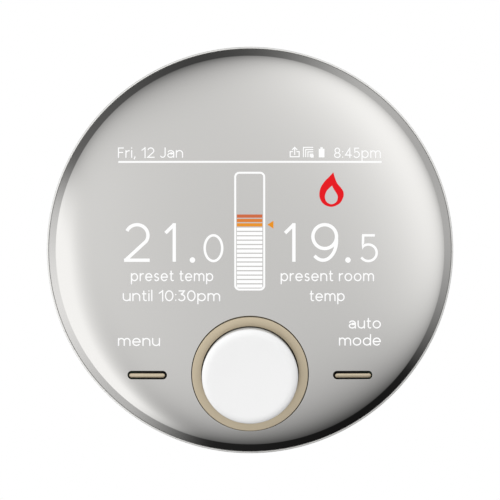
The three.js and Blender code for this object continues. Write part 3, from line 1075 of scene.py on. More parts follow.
@dataclass
class Dial:
    """The dial: gold ring, dark collar and white cap, about its own leaning axis."""

    place: Place
    ring_radius: float = 14.2
    cap_radius: float = 11.8
    collar_radius: float = 11.6
    seat: float = -3.0
    collar_top: float = 2.6
    grooves: Flat = (0.7, 1.6)
    cap_top: float = 3.78
    shoulder: float = 1.8
    dish: float = 0.2
    edge_radius: float = 0.1
    ring_crown: float = 0.05

    def build(self) -> list[bpy.types.Object]:
        """Builds the ring, the collar and the cap.

        Returns:
            The finished pieces.
        """
        ring = Form.turned(self._ring(), 192, self.place)
        collar = Form.turned(self._collar(), 160, self.place)
        cap = Form.turned(self._cap(), 192, self.place)
        return [
            ring.piece("dial_ring_gold", GOLD, "dial", ["dial_ring"], "gold_ring", 50),
            collar.piece("dial_collar_band", COLLAR, "dial", ["dial_collar"], "collar_plastic", 40),
            cap.piece("dial_cap_white", WHITE, "dial", ["dial_cap"], "white_cap", 50),
        ]

    def _ring(self) -> list[Flat]:
        """The ring's section: a gently crowned face with soft edges.

        Returns:
            The outline as (radius, height).
        """
        inner, outer = self.cap_radius + 0.15, self.ring_radius
        e = self.edge_radius
        shares = [i / 12 for i in range(13)]
        width, crown = outer - inner - 2 * e, self.ring_crown
        face = [(outer - e - width * share, crown * math.sin(math.pi * share)) for share in shares]
        edge_out = arc_points(outer - e, -e, e, 0, 90, 5)[:-1]
        edge_in = arc_points(inner + e, -e, e, 90, 180, 5)[1:]
        return [(inner, self.seat), (outer, self.seat)] + edge_out + face + edge_in

    def _collar(self) -> list[Flat]:
        """The collar's section, with two fine grooves.

        Returns:
            The outline as (radius, height).
        """
        r = self.collar_radius
        outline = [(0, self.seat), (r, self.seat)]
        for foot in self.grooves:
            low, deep = foot + 0.1, r - 0.12
            outline += [(r, foot), (deep, low), (deep, low + 0.1), (r, foot + 0.3)]
        return outline + [(r, self.collar_top), (0, self.collar_top)]

    def _cap(self) -> list[Flat]:
        """The cap's section: a slightly dished face with a rounded edge.

        Returns:
            The outline as (radius, height).
        """
        foot = self.collar_top + 0.05
        edge = self.cap_top - foot - self.dish
        r = self.cap_radius
        side = arc_points(r - 0.12, foot + 0.12, 0.12, -90, 0, 4)
        flat = r - self.shoulder
        curve = arc_points(flat, self.cap_top - edge, self.shoulder, 0, 90, 16, edge)
        inwards = [1 - i / 10 for i in range(1, 11)]
        dish = [(flat * share, self.cap_top - self.dish * (1 - share**2)) for share in inwards]
        return [(0, foot)] + side + curve + dish


@dataclass
class SlotKey:
    """One slim gold key: a crowned bar that follows the dome, and its flange behind the cover."""

    name: str
    side: int
    dome: Dome
    centre: Flat = (25.3, -30.78)
    size: Flat = (8.9, 1.1)
    sunk: float = 0.45
    crown: float = 0.3
    flange: Flat = (23.0, -30.7)
    flange_size: Flat = (8.0, 4.0)
    flange_depths: Flat = (22.7, 23.5)
    foot: float = 23.4
    pip_offset: float = 1.2

    def build(self) -> list[bpy.types.Object]:
        """Builds the gold bar and its black carrier.

        Returns:
            The finished pieces.
        """
        rows = [[WORLD.at(x, self.foot, z) for x, z in self._outline(0.0)]]
        half = self.size[1] / 2
        for i in range(9):
            inset = half * 0.97 * (i / 8) ** 1.6
            lift = self.crown * math.sqrt(max(0.0, 1 - (1 - inset / half) ** 2)) - self.crown - self.sunk
            rows.append([self.dome.point(x, z, lift) for x, z in self._outline(inset)])
        x, z = self.flange
        carrier = Form.prism(rounded_rect(*self.flange_size, 1, self.side * x, z), *self.flange_depths)
        carrier.join(tube(self.side * (x + self.pip_offset), z, 0.9, 0, 22.5, 23, steps=32))
        body = f"{self.name}_key"
        return [
            Form.loft(rows, [-1]).piece(f"{body}_bar", GOLD, body, [body], "gold_key", 50),
            carrier.piece(f"{body}_carrier", BLACK, body, (), "hub_plastic"),
        ]

    def _outline(self, inset: float) -> list[Flat]:
        """The bar's outline, drawn in by `inset`."""
        w, h = (size - 2 * inset for size in self.size)
        return rounded_rect(w, h, h / 2 - 1e-4, self.side * self.centre[0], self.centre[1], 12)


# ---------------------------------------------------------------- display marks


class Ends(Enum):
    """How a stroke ends."""

    ROUND = "round"
    FLAT = "flat"


def line(*numbers: float) -> list[Flat]:
    """A pen line through x, y pairs."""
    return [(numbers[i], numbers[i + 1]) for i in range(0, len(numbers), 2)]


def oval(cx: float, cy: float, rx: float, ry: float, start: float = 0, end: float = 360) -> list[Flat]:
    """A pen stroke along an oval, between two angles in degrees."""
    return arc_points(cx, cy, rx, start, end, max(4, int(abs(end - start) / 9)), ry)


Glyph = tuple[float, list[list[Flat]]]


class PenFont:
    """A plain alphabet drawn with one pen. Sizes are of the pen's middle line: small letters stand 1 high."""

    CAP = 1.4
    GAP = 0.4
    NARROWEST = 0.84
    WIDEST = 1.06

    def __init__(self) -> None:
        """Draws the letters and figures that the display uses."""
        bowl = oval(0.5, 0.5, 0.5, 0.5)
        stem = line(0, 1, 0, 0)
        arch = oval(0.46, 0.58, 0.46, 0.42, 180, 0)
        humps = [oval(x, 0.6, 0.39, 0.4, 180, 0) + line(x + 0.39, 0) for x in (0.39, 1.17)]
        self.glyphs: dict[str, Glyph] = {
            "a": (0.88, [
                oval(0.44, 0.62, 0.44, 0.38, 148, 0) + line(0.88, 0),
                line(0.88, 0.58, 0.42, 0.58)
                + oval(0.42, 0.29, 0.42, 0.29, 90, 270)
                + oval(0.42, 0.42, 0.5, 0.42, 280, 330),
            ]),
            "d": (1.0, [bowl, line(1.0, 1.5, 1.0, 0)]),
            "e": (1.0, [line(0.02, 0.5, 1.0, 0.5) + oval(0.5, 0.5, 0.5, 0.5, 9, 316)]),
            "i": (0.0, [stem, line(0, 1.38, 0, 1.42)]),
            "l": (0.0, [line(0, 1.5, 0, 0)]),
            "m": (1.56, [stem, *humps]),
            "n": (0.92, [stem, arch + line(0.92, 0)]),
            "o": (1.04, [oval(0.52, 0.5, 0.52, 0.5)]),
            "p": (1.0, [line(0, 1, 0, -0.45), bowl]),
            "r": (0.46, [stem, oval(0.46, 0.56, 0.46, 0.43, 180, 84)]),
            "s": (0.66, [oval(0.34, 0.75, 0.29, 0.25, 38, 230) + oval(0.33, 0.25, 0.32, 0.25, 48, -146)]),
            "t": (0.48, [
                line(0.17, 1.36) + oval(0.42, 0.25, 0.25, 0.25, 180, 292),
                line(0, 0.98, 0.46, 0.98),
            ]),
            "u": (0.92, [line(0, 1) + oval(0.46, 0.42, 0.46, 0.42, 180, 360), line(0.92, 1, 0.92, 0)]),
            "J": (0.66, [line(0.66, 1.4) + oval(0.3, 0.36, 0.36, 0.36, 0, -148)]),
            "F": (0.72, [line(0.74, 1.4, 0, 1.4, 0, 0), line(0, 0.74, 0.64, 0.74)]),
            "0": (1.0, [oval(0.5, 0.7, 0.5, 0.7)]),
            "1": (0.46, [line(0.46, 1.46, 0.46, -0.06), line(0, 1.07, 0.43, 1.39)]),
            "2": (0.9, [oval(0.46, 0.98, 0.44, 0.42, 156, -34) + line(0.03, 0.03), line(-0.06, 0, 0.97, 0)]),
            "3": (0.84, [line(0.06, 1.4, 0.78, 1.4, 0.4, 0.86) + oval(0.4, 0.43, 0.44, 0.43, 90, -145)]),
            "4": (0.98, [line(0.72, 0, 0.72, 1.4, 0, 0.36, 0.98, 0.36)]),
            "5": (0.86, [line(0.76, 1.4, 0.12, 1.4, 0.1, 0.78) + oval(0.4, 0.45, 0.46, 0.45, 130, -146)]),
            "8": (0.9, [oval(0.45, 1.04, 0.37, 0.36), oval(0.45, 0.34, 0.45, 0.34)]),
            "9": (0.96, [oval(0.48, 0.93, 0.48, 0.47), oval(0.41, 0.79, 0.55, 0.79, 9, -129)]),
            ",": (0.1, [line(0.1, 0.08, -0.02, -0.24)]),
            ":": (0.0, [line(0, 0.04, 0, 0.07), line(0, 0.86, 0, 0.89)]),
            " ": (0.24, []),
        }

    def write(
        self, text: str, left: float, right: float, base: float, height: float, pen: float
    ) -> list[list[Flat]]:
        """Lays text out so that it just fills a width.

        Args:
            text: the text.
            left: its left edge.
            right: its right edge.
            base: its lower edge.
            height: height of a small letter.
            pen: width of the pen that will draw it.

        Returns:
            Pen strokes.
        """
        scale = height - pen
        room, gaps = right - left - pen, len(text) - 1
        natural = sum(self.glyphs[c][0] for c in text) * scale
        narrow = (room - gaps * self.GAP * scale) / natural
        narrow = min(self.WIDEST, max(self.NARROWEST, narrow))
        gap = (room - natural * narrow) / gaps
        strokes, x = [], left + pen / 2
        for letter in text:
            width, drawn = self.glyphs[letter]
            for path in drawn:
                strokes.append([(x + u * scale * narrow, base + pen / 2 + v * scale) for u, v in path])
            x += width * scale * narrow + gap
        return strokes

    def figure(self, letter: str, left: float, right: float, base: float, height: float) -> list[list[Flat]]:
        """One large figure stretched to a width and a height.

        Args:
            letter: the figure.
            left: its left edge.
            right: its right edge.
            base: its lower edge.
            height: its height.

        Returns:
            Pen strokes.
        """
        width, drawn = self.glyphs[letter]
        across, up = (right - left) / width, height / self.CAP
        return [[(left + u * across, base + v * up) for u, v in stroke] for stroke in drawn]


class DomeMarks:
    """Thin marks laid on the dome."""

    THICK = 0.02
    LIFT = 0.03
    HAIR = 0.0004
    LAYERS = 8
    LEAST_MITER = 0.42

    def __init__(self, dome: Dome) -> None:
        """Starts an empty set of marks just above the dome.

        Args:
            dome: what they lie on.
        """
        self.dome = dome
        self.form = Form()
        self.layer = 0

    def _vertex(self, x: float, z: float) -> bmesh.types.BMVert:
        """A vertex on the dome, each layer a hair above the last."""
        lift = self.LIFT + self.HAIR * (self.layer % self.LAYERS)
        return self.form.mesh.verts.new(self.dome.point(x, z, lift))

    @staticmethod
    def _finely(path: Sequence[Flat], step: float) -> list[Flat]:
        """The path with points no further apart than `step`.

        Args:
            path: points of a pen line.
            step: the longest chord.

        Returns:
            The finer path.
        """
        points = [path[0]]
        for (x0, z0), (x1, z1) in zip(path, path[1:]):
            count = max(1, math.ceil(math.hypot(x1 - x0, z1 - z0) / step))
            for i in range(1, count + 1):
                points.append((x0 + (x1 - x0) * i / count, z0 + (z1 - z0) * i / count))
        return points

    def stroke(self, path: Sequence[Flat], width: float, ends: Ends = Ends.ROUND) -> None:
        """Draws a pen stroke.

        Args:
            path: its points; a path that ends where it starts is closed.
            width: the pen's width.
            ends: round or flat ends.
        """
        self.layer += 1
        points = self._finely(path, 0.8)
        closed = math.dist(points[0], points[-1]) < TINY
        if closed:
            points = points[:-1]
        count = len(points)
        sides = []
        for i, (x, z) in enumerate(points):
            before = points[i - 1] if closed or i else None
            after = points[(i + 1) % count] if closed or i < count - 1 else None
            arm_in = Vector((x - before[0], z - before[1])).normalized() if before else None
            arm_out = Vector((after[0] - x, after[1] - z)).normalized() if after else None
            arm_in, arm_out = arm_in or arm_out, arm_out or arm_in
            mean = arm_in + arm_out
            mean = mean.normalized() if mean.length > TINY else arm_out
            stretch = 1 / max(self.LEAST_MITER, mean.dot(arm_out))
            nx, nz = -mean.y * width / 2 * stretch, mean.x * width / 2 * stretch
            sides.append((self._vertex(x + nx, z + nz), self._vertex(x - nx, z - nz)))
        for (a, b), (c, d) in zip(sides, sides[1:] + (sides[:1] if closed else [])):
            self.form.mesh.faces.new((a, b, d, c))
        if not closed and ends is Ends.ROUND:
            self._cap(points[0], points[1], sides[0], width)
            self._cap(points[-1], points[-2], sides[-1], width)

    def _cap(self, end: Flat, inner: Flat, sides: tuple, width: float) -> None:
        """A half-round end on a stroke.

        Args:
            end: where the stroke ends.
            inner: the point before it.
            sides: the stroke's two corners at its end.
            width: the pen's width.
        """
        dx, dz = end[0] - inner[0], end[1] - inner[1]
        away = math.atan2(dz, dx)
        angles = [away + math.pi / 2 - math.pi * i / 8 for i in range(1, 8)]
        r = width / 2
        rim = [self._vertex(end[0] + r * math.cos(a), end[1] + r * math.sin(a)) for a in angles]
        across = sides[0].co - sides[1].co
        first, last = sides if dx * across.z > dz * across.x else sides[::-1]
        self.form.mesh.faces.new([first, *rim, last])

    def area(self, outline: Sequence[Flat], *holes: Sequence[Flat]) -> None:
        """Fills an outline, leaving its holes open.

        Args:
            outline: the outer edge.
            holes: the edges of its holes.
        """
        self.layer += 1
        loops = [list(outline), *[list(h) for h in holes]]
        corners = [self._vertex(x, z) for loop in loops for x, z in loop]
        flat = [[Vector((x, z, 0)) for x, z in loop] for loop in loops]
        for triangle in tessellate_polygon(flat):
            self.form.mesh.faces.new([corners[i] for i in triangle])

    def dot(self, x: float, z: float, size: float) -> None:
        """A round dot."""
        self.area(arc_points(x, z, size / 2, 0, 360, 20)[:-1])

    def piece(self, name: str, finish: Finish) -> bpy.types.Object:
        """Turns the marks into a piece of the head, facing the room.

        Args:
            name: its name.
            finish: its finish.

        Returns:
            The object.
        """
        for face in self.form.mesh.faces:
            face.normal_update()
            if face.normal.y > 0:
                face.normal_flip()
        bmesh.ops.solidify(self.form.mesh, geom=self.form.mesh.faces[:], thickness=self.THICK * MM)
        return self.form.piece(name, finish, "head")


def pointed_loop(points: Sequence[Flat], steps: int = 8) -> list[Flat]:
    """A smooth closed outline that comes to a point at its first point.

    Args:
        points: what it passes through.
        steps: points to make between two of them.

    Returns:
        The outline without a repeated point.
    """
    ring = [points[0], *points, points[0]]
    ends = [points[0], *points, points[0], points[0]]
    outline: list[Flat] = []
    for i in range(1, len(ring) - 1):
        p0, p1, p2, p3 = (Vector(p) for p in ends[i - 1 : i + 3])
        for k in range(steps):
            t = k / steps
            bend, twist = 2 * p0 - 5 * p1 + 4 * p2 - p3, 3 * p1 - p0 - 3 * p2 + p3
            p = 0.5 * (2 * p1 + (p2 - p0) * t + bend * t**2 + twist * t**3)
            outline.append((p.x, p.y))
    return outline


@dataclass
class Display:
    """What the display shows through the cover."""

    dome: Dome
    font: PenFont = field(default_factory=PenFont)
    edge: float = 32.3
    fine_pen: float = 0.26
    text_pen: float = 0.3
    rule_pen: float = 0.46
    frame_pen: float = 0.48
    small_pen: float = 0.6
    big_pen: float = 0.82
    bar_pitch: float = 1.07
    bar_top: float = 8.3
    bar_ends: Flat = (-3.22, 3.03)

    def build(self) -> list[bpy.types.Object]:
        """Lays the marks on the dome.

        Returns:
            The finished pieces.
        """
        plain = [self._readings(), self._words(), self._status()]
        return [*plain, *self._column(), self._pointer(), self._flame()]

    def _readings(self) -> bpy.types.Object:
        """The set and the measured temperature. A figure has a left and a right edge.

        Returns:
            The finished piece.
        """
        marks = DomeMarks(self.dome)
        big = [("2", -30.5, -25.0), ("1", -20.7, -18.55), ("1", 8.6, 10.75), ("9", 15.4, 21.2)]
        small = [("0", -11.1, -6.8), ("5", 27.2, 31.05)]
        sizes = ((big, -2.5, 8.7, self.big_pen), (small, -2.7, 6.3, self.small_pen))
        for figures, base, height, pen in sizes:
            for letter, left, right in figures:
                for path in self.font.figure(letter, left, right, base, height):
                    marks.stroke(path, pen, Ends.FLAT)
        for x in (-14.1, 24.0):
            marks.dot(x, -2.45, 1.36)
        return marks.piece("display_readings", LIT_WHITE)

    def _words(self) -> bpy.types.Object:
        """Captions and key legends in plain words. Each has a left, a right and a lower edge.

        Returns:
            The finished piece.
        """
        marks = DomeMarks(self.dome)
        header = [("Fri, 12 Jan", -32.4, -16.4, 22.6), ("8:45pm", 20.6, 32.1, 22.55)]
        captions = [
            ("preset temp", -29.2, -9.0, -7.65),
            ("until 10:30pm", -31.2, -7.3, -12.55),
            ("present room", 7.5, 30.4, -7.65),
            ("temp", 14.6, 23.2, -12.55),
            ("menu", -32.4, -22.05, -23.55),
            ("auto", 24.2, 32.1, -19.25),
            ("mode", 21.8, 32.1, -23.45),
        ]
        for lines, height, pen in ((header, 1.9, self.fine_pen), (captions, 2.0, self.text_pen)):
            for place in lines:
                for path in self.font.write(*place, height, pen):
                    marks.stroke(path, pen)
        return marks.piece("display_words", LIT_WHITE)

    def _status(self) -> bpy.types.Object:
        """The rule under the top line, and its three status marks.

        Returns:
            The finished piece.
        """
        marks = DomeMarks(self.dome)
        marks.stroke([(-self.edge, 21.6), (self.edge, 21.6)], self.rule_pen, Ends.FLAT)
        tray = line(10.4, 24.1, 9.85, 24.1, 9.85, 22.85, 12.05, 22.85, 12.05, 24.1, 11.5, 24.1)
        for path in (tray, line(10.95, 23.4, 10.95, 25.1), line(10.4, 24.6, 10.95, 25.15, 11.5, 24.6)):
            marks.stroke(path, self.fine_pen)
        for i in range(4):
            left, top = 13.1 + 0.55 * i, 25.15 - 0.55 * i
            marks.stroke(line(left, 22.75, left, top, 15.5, top), 0.24, Ends.FLAT)
        for w, h, x, z in ((0.7, 0.7, 15.25, 23.0), (1.4, 2.1, 17.55, 23.75), (0.6, 0.4, 17.55, 25.0)):
            marks.area(rectangle(w, h, x, z))
        return marks.piece("display_status", LIT_WHITE)

    def _column(self) -> list[bpy.types.Object]:
        """The column of bars in its frame, warm ones on top.

        Returns:
            The finished pieces.
        """
        marks = DomeMarks(self.dome)
        outline = rounded_rect(7.1, 28.6, 1.0, -0.07, 4.62, 6)
        marks.stroke(outline + outline[:1], self.frame_pen)
        left, right = self.bar_ends
        bars = [line(left, z, right, z) for z in [self.bar_top - i * self.bar_pitch for i in range(17)]]
        for bar in bars[3:]:
            marks.stroke(bar, 0.78, Ends.FLAT)
        pieces = [marks.piece("display_column", LIT_WHITE)]
        for i, colour in enumerate(WARM):
            warm = DomeMarks(self.dome)
            warm.stroke(bars[i], 0.8, Ends.FLAT)
            pieces.append(warm.piece(f"display_warm_bar_{i + 1}", Lit(f"lit_warm_{i + 1}", colour)))
        return pieces

    def _pointer(self) -> bpy.types.Object:
        """The small pointer beside the column.

        Returns:
            The finished piece.
        """
        marks = DomeMarks(self.dome)
        marks.area([(4.25, 6.2), (5.75, 5.22), (5.75, 7.18)])
        return marks.piece("display_pointer", LIT_POINTER)

    def _flame(self) -> bpy.types.Object:
        """The flame that says the heating is on.

        Returns:
            The finished piece.
        """
        marks = DomeMarks(self.dome)
        flame = line(20.43, 19.05, 20.78, 17.8, 21.35, 16.4, 22.25, 15.3, 22.9, 14.2, 22.85, 12.9)
        flame += line(21.9, 11.35, 20.0, 10.58, 18.1, 11.2, 17.05, 12.9, 17.2, 15.0, 18.2, 16.7, 19.4, 17.95)
        drop = line(20.1, 15.75, 20.55, 14.85, 21.15, 13.95, 21.5, 13.0, 21.15, 11.8, 20.0, 11.22)
        drop += line(18.8, 11.75, 18.35, 13.0, 18.7, 14.3, 19.4, 15.15)
        marks.area(pointed_loop(flame), pointed_loop(drop))
        return marks.piece("display_flame", LIT_RED)


# ---------------------------------------------------------------- wall plate, screws, cells


@dataclass
class WallPlate:
    """The plate on the wall, with its clip fingers and two screw slots."""

    radius: float = 36.8
    thick: float = 2.6
    edge: float = 0.6
    slot_widths: Flat = (9.6, 4.8)
    slot_travel: float = 4.8
    sink: float = 1.3
    finger: Triple = (33.0, 1.5, 9.0)
    hook: tuple[float, ...] = (33.0, 1.9, 6.0, 5.6, 6.6)
    finger_top: float = 7.0

    def build(self) -> list[bpy.types.Object]:
        """Builds the plate.

        Returns:
            The finished piece.
        """
        r, top, e = self.radius, self.thick, self.edge
        plate = Form.turned(rounded([(0, 0), (r, 0), (r, top - e), (r - e, top), (0, top)], 0.3), 192)
        for x in (-WALL_SCREW_X, WALL_SCREW_X):
            for w, low in zip(self.slot_widths, (self.sink, -1)):
                outline = rounded_rect(w, w + self.slot_travel, w / 2 - 0.001, x, 0, 16)
                plate.cut(Form.prism(outline, low, top + 1))
        for angle in CLIP_ANGLES:
            finger = radial_block(angle, *self.finger, top - 0.3, self.finger_top)
            plate.join(finger, radial_block(angle, *self.hook))
        return [plate.piece("wall_plate_moulding", PLATE, "wall_plate", ["wall_plate"], "plate_plastic", 30)]


class Facing(Enum):
    """Which way a screw's head looks."""

    WALL = -1
    ROOM = 1


@dataclass(frozen=True)
class ScrewSize:
    """The sizes of a screw's head and of its shank."""

    head_radius: float
    head_height: float
    shank_radius: float
    shank_length: float


CASE_SCREW = ScrewSize(2.2, 1.5, 1.15, 15.1)
BOARD_SCREW = ScrewSize(2.1, 1.2, 0.85, 6.8)
DIAL_SCREW = ScrewSize(1.9, 1.2, 0.85, 4.3)
WALL_SCREW = ScrewSize(4.0, 1.15, 2.0, 1.3)


@dataclass
class CrossScrew:
    """A pan-head screw with a cross recess. Heights run from the head's seat towards its top."""

    node: str
    body: str
    size: ScrewSize
    facing: Facing
    x: float
    z: float
    seat_depth: float
    place: Place = WORLD
    pitch: float = 0.5
    root_share: float = 0.86
    rim_share: float = 0.35

    def build(self) -> list[bpy.types.Object]:
        """Builds the screw.

        Returns:
            The finished piece.
        """
        way = self.facing.value
        top, r = self.size.head_height, self.size.head_radius
        shank, length = self.size.shank_radius, self.size.shank_length
        root = shank * self.root_share
        pan = arc_points(0, top * self.rim_share, r, 0, 90, 8, top * (1 - self.rim_share))
        thread = []
        for i in range(int(length / self.pitch)):
            low = -length + 0.3 + i * self.pitch
            thread += [(root, low), (shank, low + 0.2)]
        profile = [(0, -length), *thread, (root, 0.0), (r, 0.0), *pan[:-1], (0, top)]
        turned = [(radius, self.seat_depth + way * height) for radius, height in profile]
        screw = Form.turned(turned, 48, self.place, self.x, self.z)
        low, high = sorted(self.seat_depth + way * height for height in (top * self.rim_share, top + 0.5))
        arm, slit = r * 1.15, r * 0.26
        for w, h in ((arm, slit), (slit, arm)):
            screw.cut(Form.prism(rectangle(w, h, self.x, self.z), low, high, self.place))
        return [screw.piece(f"{self.node}_turned", ZINC, self.body, [self.node], "zinc_steel", 30)]


@dataclass
class DryCell:
    """An AA cell: a printed jacket with bright steel ends."""

    number: int
    side: int
    z: float
    radius: float = 7.25
    body: float = 49.2
    nub: float = 1.3
    nub_radius: float = 2.75
    rolled: float = 0.9

    def build(self) -> list[bpy.types.Object]:
        """Builds the jacket and the steel core whose ends show.

        Returns:
            The finished pieces.
        """
        half = (self.body + self.nub) / 2
        end = half - self.nub
        r = self.radius
        lip, bore, nub = r - self.rolled, r - 0.3, self.nub_radius
        jacket = [(lip, 0.1 - half), (r, 0.6 - half), (r, end - 0.6), (lip, end - 0.05)]
        jacket += [(lip, end - 0.5), (bore, end - 1.0), (bore, 1.0 - half), (lip, 0.5 - half)]
        core = [(0, -half), (4.2, -half), (4.4, 0.15 - half), (lip, 0.15 - half), (lip, end - 0.12)]
        core += [(4.2, end - 0.12), (4.0, end - 0.3), (3.2, end - 0.3), (nub, end)]
        core += [(nub, half - 0.3), (nub - 0.35, half), (0, half)]
        turn = Matrix.Rotation(self.side * math.pi / 2, 4, "Z")
        place = Matrix.Translation((0, -CELL_DEPTH * MM, self.z * MM)) @ turn
        finish = JACKET_RIGHT if self.side > 0 else JACKET_LEFT
        node = f"battery_{self.number}"
        sleeve = Form.turned(rounded(jacket, 0.3)).turn(place)
        steel = Form.turned(rounded(core, 0.2)).turn(place)
        return [
            sleeve.piece(f"{node}_jacket", finish, "head", [node], "cell_jacket", 30),
            steel.piece(f"{node}_ends", NICKEL, "head", (), "nickel_contact", 30),
        ]


@dataclass
class CellSpring:
    """A conical contact coil, as a round wire."""

    number: int
    side: int
    z: float
    wire: float = 0.3
    turns: float = 2.2
    radii: Flat = (3.6, 2.0)
    seat: float = 27.1
    length: float = 1.35

    def build(self) -> list[bpy.types.Object]:
        """Builds the coil.

        Returns:
            The finished piece.
        """
        steps, (wide, narrow) = 110, self.radii
        centre = []
        for i in range(steps + 1):
            share = i / steps
            a = share * self.turns * 2 * math.pi
            r = wide - (wide - narrow) * share
            x = self.side * (self.seat - self.length * share)
            centre.append(Vector((x, r * math.cos(a) - CELL_DEPTH, self.z + r * math.sin(a))))
        rows = []
        round_wire = arc_points(0, 0, self.wire, 0, 360, 12)[:-1]
        for i, point in enumerate(centre):
            along = (centre[min(i + 1, steps)] - centre[max(i - 1, 0)]).normalized()
            out = along.cross(Vector((1, 0, 0))).normalized()
            up = along.cross(out)
            rows.append([(point + out * u + up * v) * MM for u, v in round_wire])
        node = f"battery_spring_{self.number}"
        coil = Form.loft(rows, [0, -1])
        return [coil.piece(f"{node}_wire", NICKEL, "head", [node], "nickel_contact", 60)]


# ---------------------------------------------------------------- CAD nodes that stay


DRESSED: dict[Finish, str] = {
    BOARD: "main_board dial_board",
    CAN: "radio_module encoder_body",
    BLACK: "controller_chip temperature_sensor display_frame menu_switch_body mode_switch_body dial_hub",
    SLEEVE: "capacitor",
    CLEAR: "display_backlight menu_legend_light mode_legend_light",
    GLASS: "display_glass",
    RIBBON: "display_ribbon dial_ribbon",
    IVORY: "display_socket menu_switch_plunger mode_switch_plunger encoder_plunger",
    NICKEL: "battery_bridge_plate battery_positive_plate battery_negative_plate",
    SHAFT: "encoder_shaft",
    BRASS: "encoder_bushing encoder_snap_dome",
}


def dress_nodes(edge: float = 0.06, sharp: float = 50.0) -> None:
    """Gives each CAD node that stays its finish and softens its edges.

    Args:
        edge: width of the softened edges.
        sharp: edges sharper than this many degrees are softened.
    """
    for finish, names in DRESSED.items():
        for name in names.split():
            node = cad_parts[name]
            node.data.materials.clear()
            node.data.materials.append(finish.material())
            edges = node.modifiers.new("soft_edges", "BEVEL")
            edges.width, edges.segments = edge * MM, 2
            edges.limit_method, edges.angle_limit = "ANGLE", math.radians(sharp)
            log.info("%s: CAD node dressed in %s", name, finish.name)


# ---------------------------------------------------------------- studio


@dataclass(frozen=True)
class Card:
    """A soft card of light round the object, or a dark flag where its strength is negative.

    It stands in the direction `towards`: to the right, to the front and up.
    """

    strength: float
    tightness: float
    towards: Triple


@dataclass(frozen=True)
class WindowEdge:
    """A soft edge of the studio's window, where one direction passes `slant` times another."""

    slant: float
    dark: float
    bright: float

    def inside(self, s: Shader, first: Signal, second: Signal) -> Signal:
        """0 beyond the edge and 1 well inside it."""
        return s.ease(first - second * self.slant, self.dark, self.bright)


WINDOW_SIDE = WindowEdge(1.238, -0.600, 0.000)
WINDOW_FOOT = WindowEdge(0.881, -0.282, -0.715)
WINDOW_TOP = WindowEdge(-1.458, -0.678, 0.196)
FRONT_CARDS = (
    Card(0.693, 7.23, (0.692, 0.722, -0.023)),
    Card(0.441, 10.82, (0.953, 0.294, -0.078)),
    Card(-1.500, 2.71, (0.098, 0.609, 0.787)),
    Card(0.412, 5.94, (-0.134, 0.845, -0.518)),
    Card(1.285, 2.39, (-0.529, 0.767, 0.362)),
    Card(2.180, 3.97, (0.393, 0.579, 0.714)),
)
BACK_CARDS = (
    Card(0.792, 15.11, (0.535, -0.361, 0.764)),
    Card(1.005, 11.04, (-0.967, -0.058, -0.248)),
    Card(-0.435, 3.38, (0.631, -0.416, -0.655)),
    Card(1.063, 4.77, (0.995, -0.046, 0.091)),
)


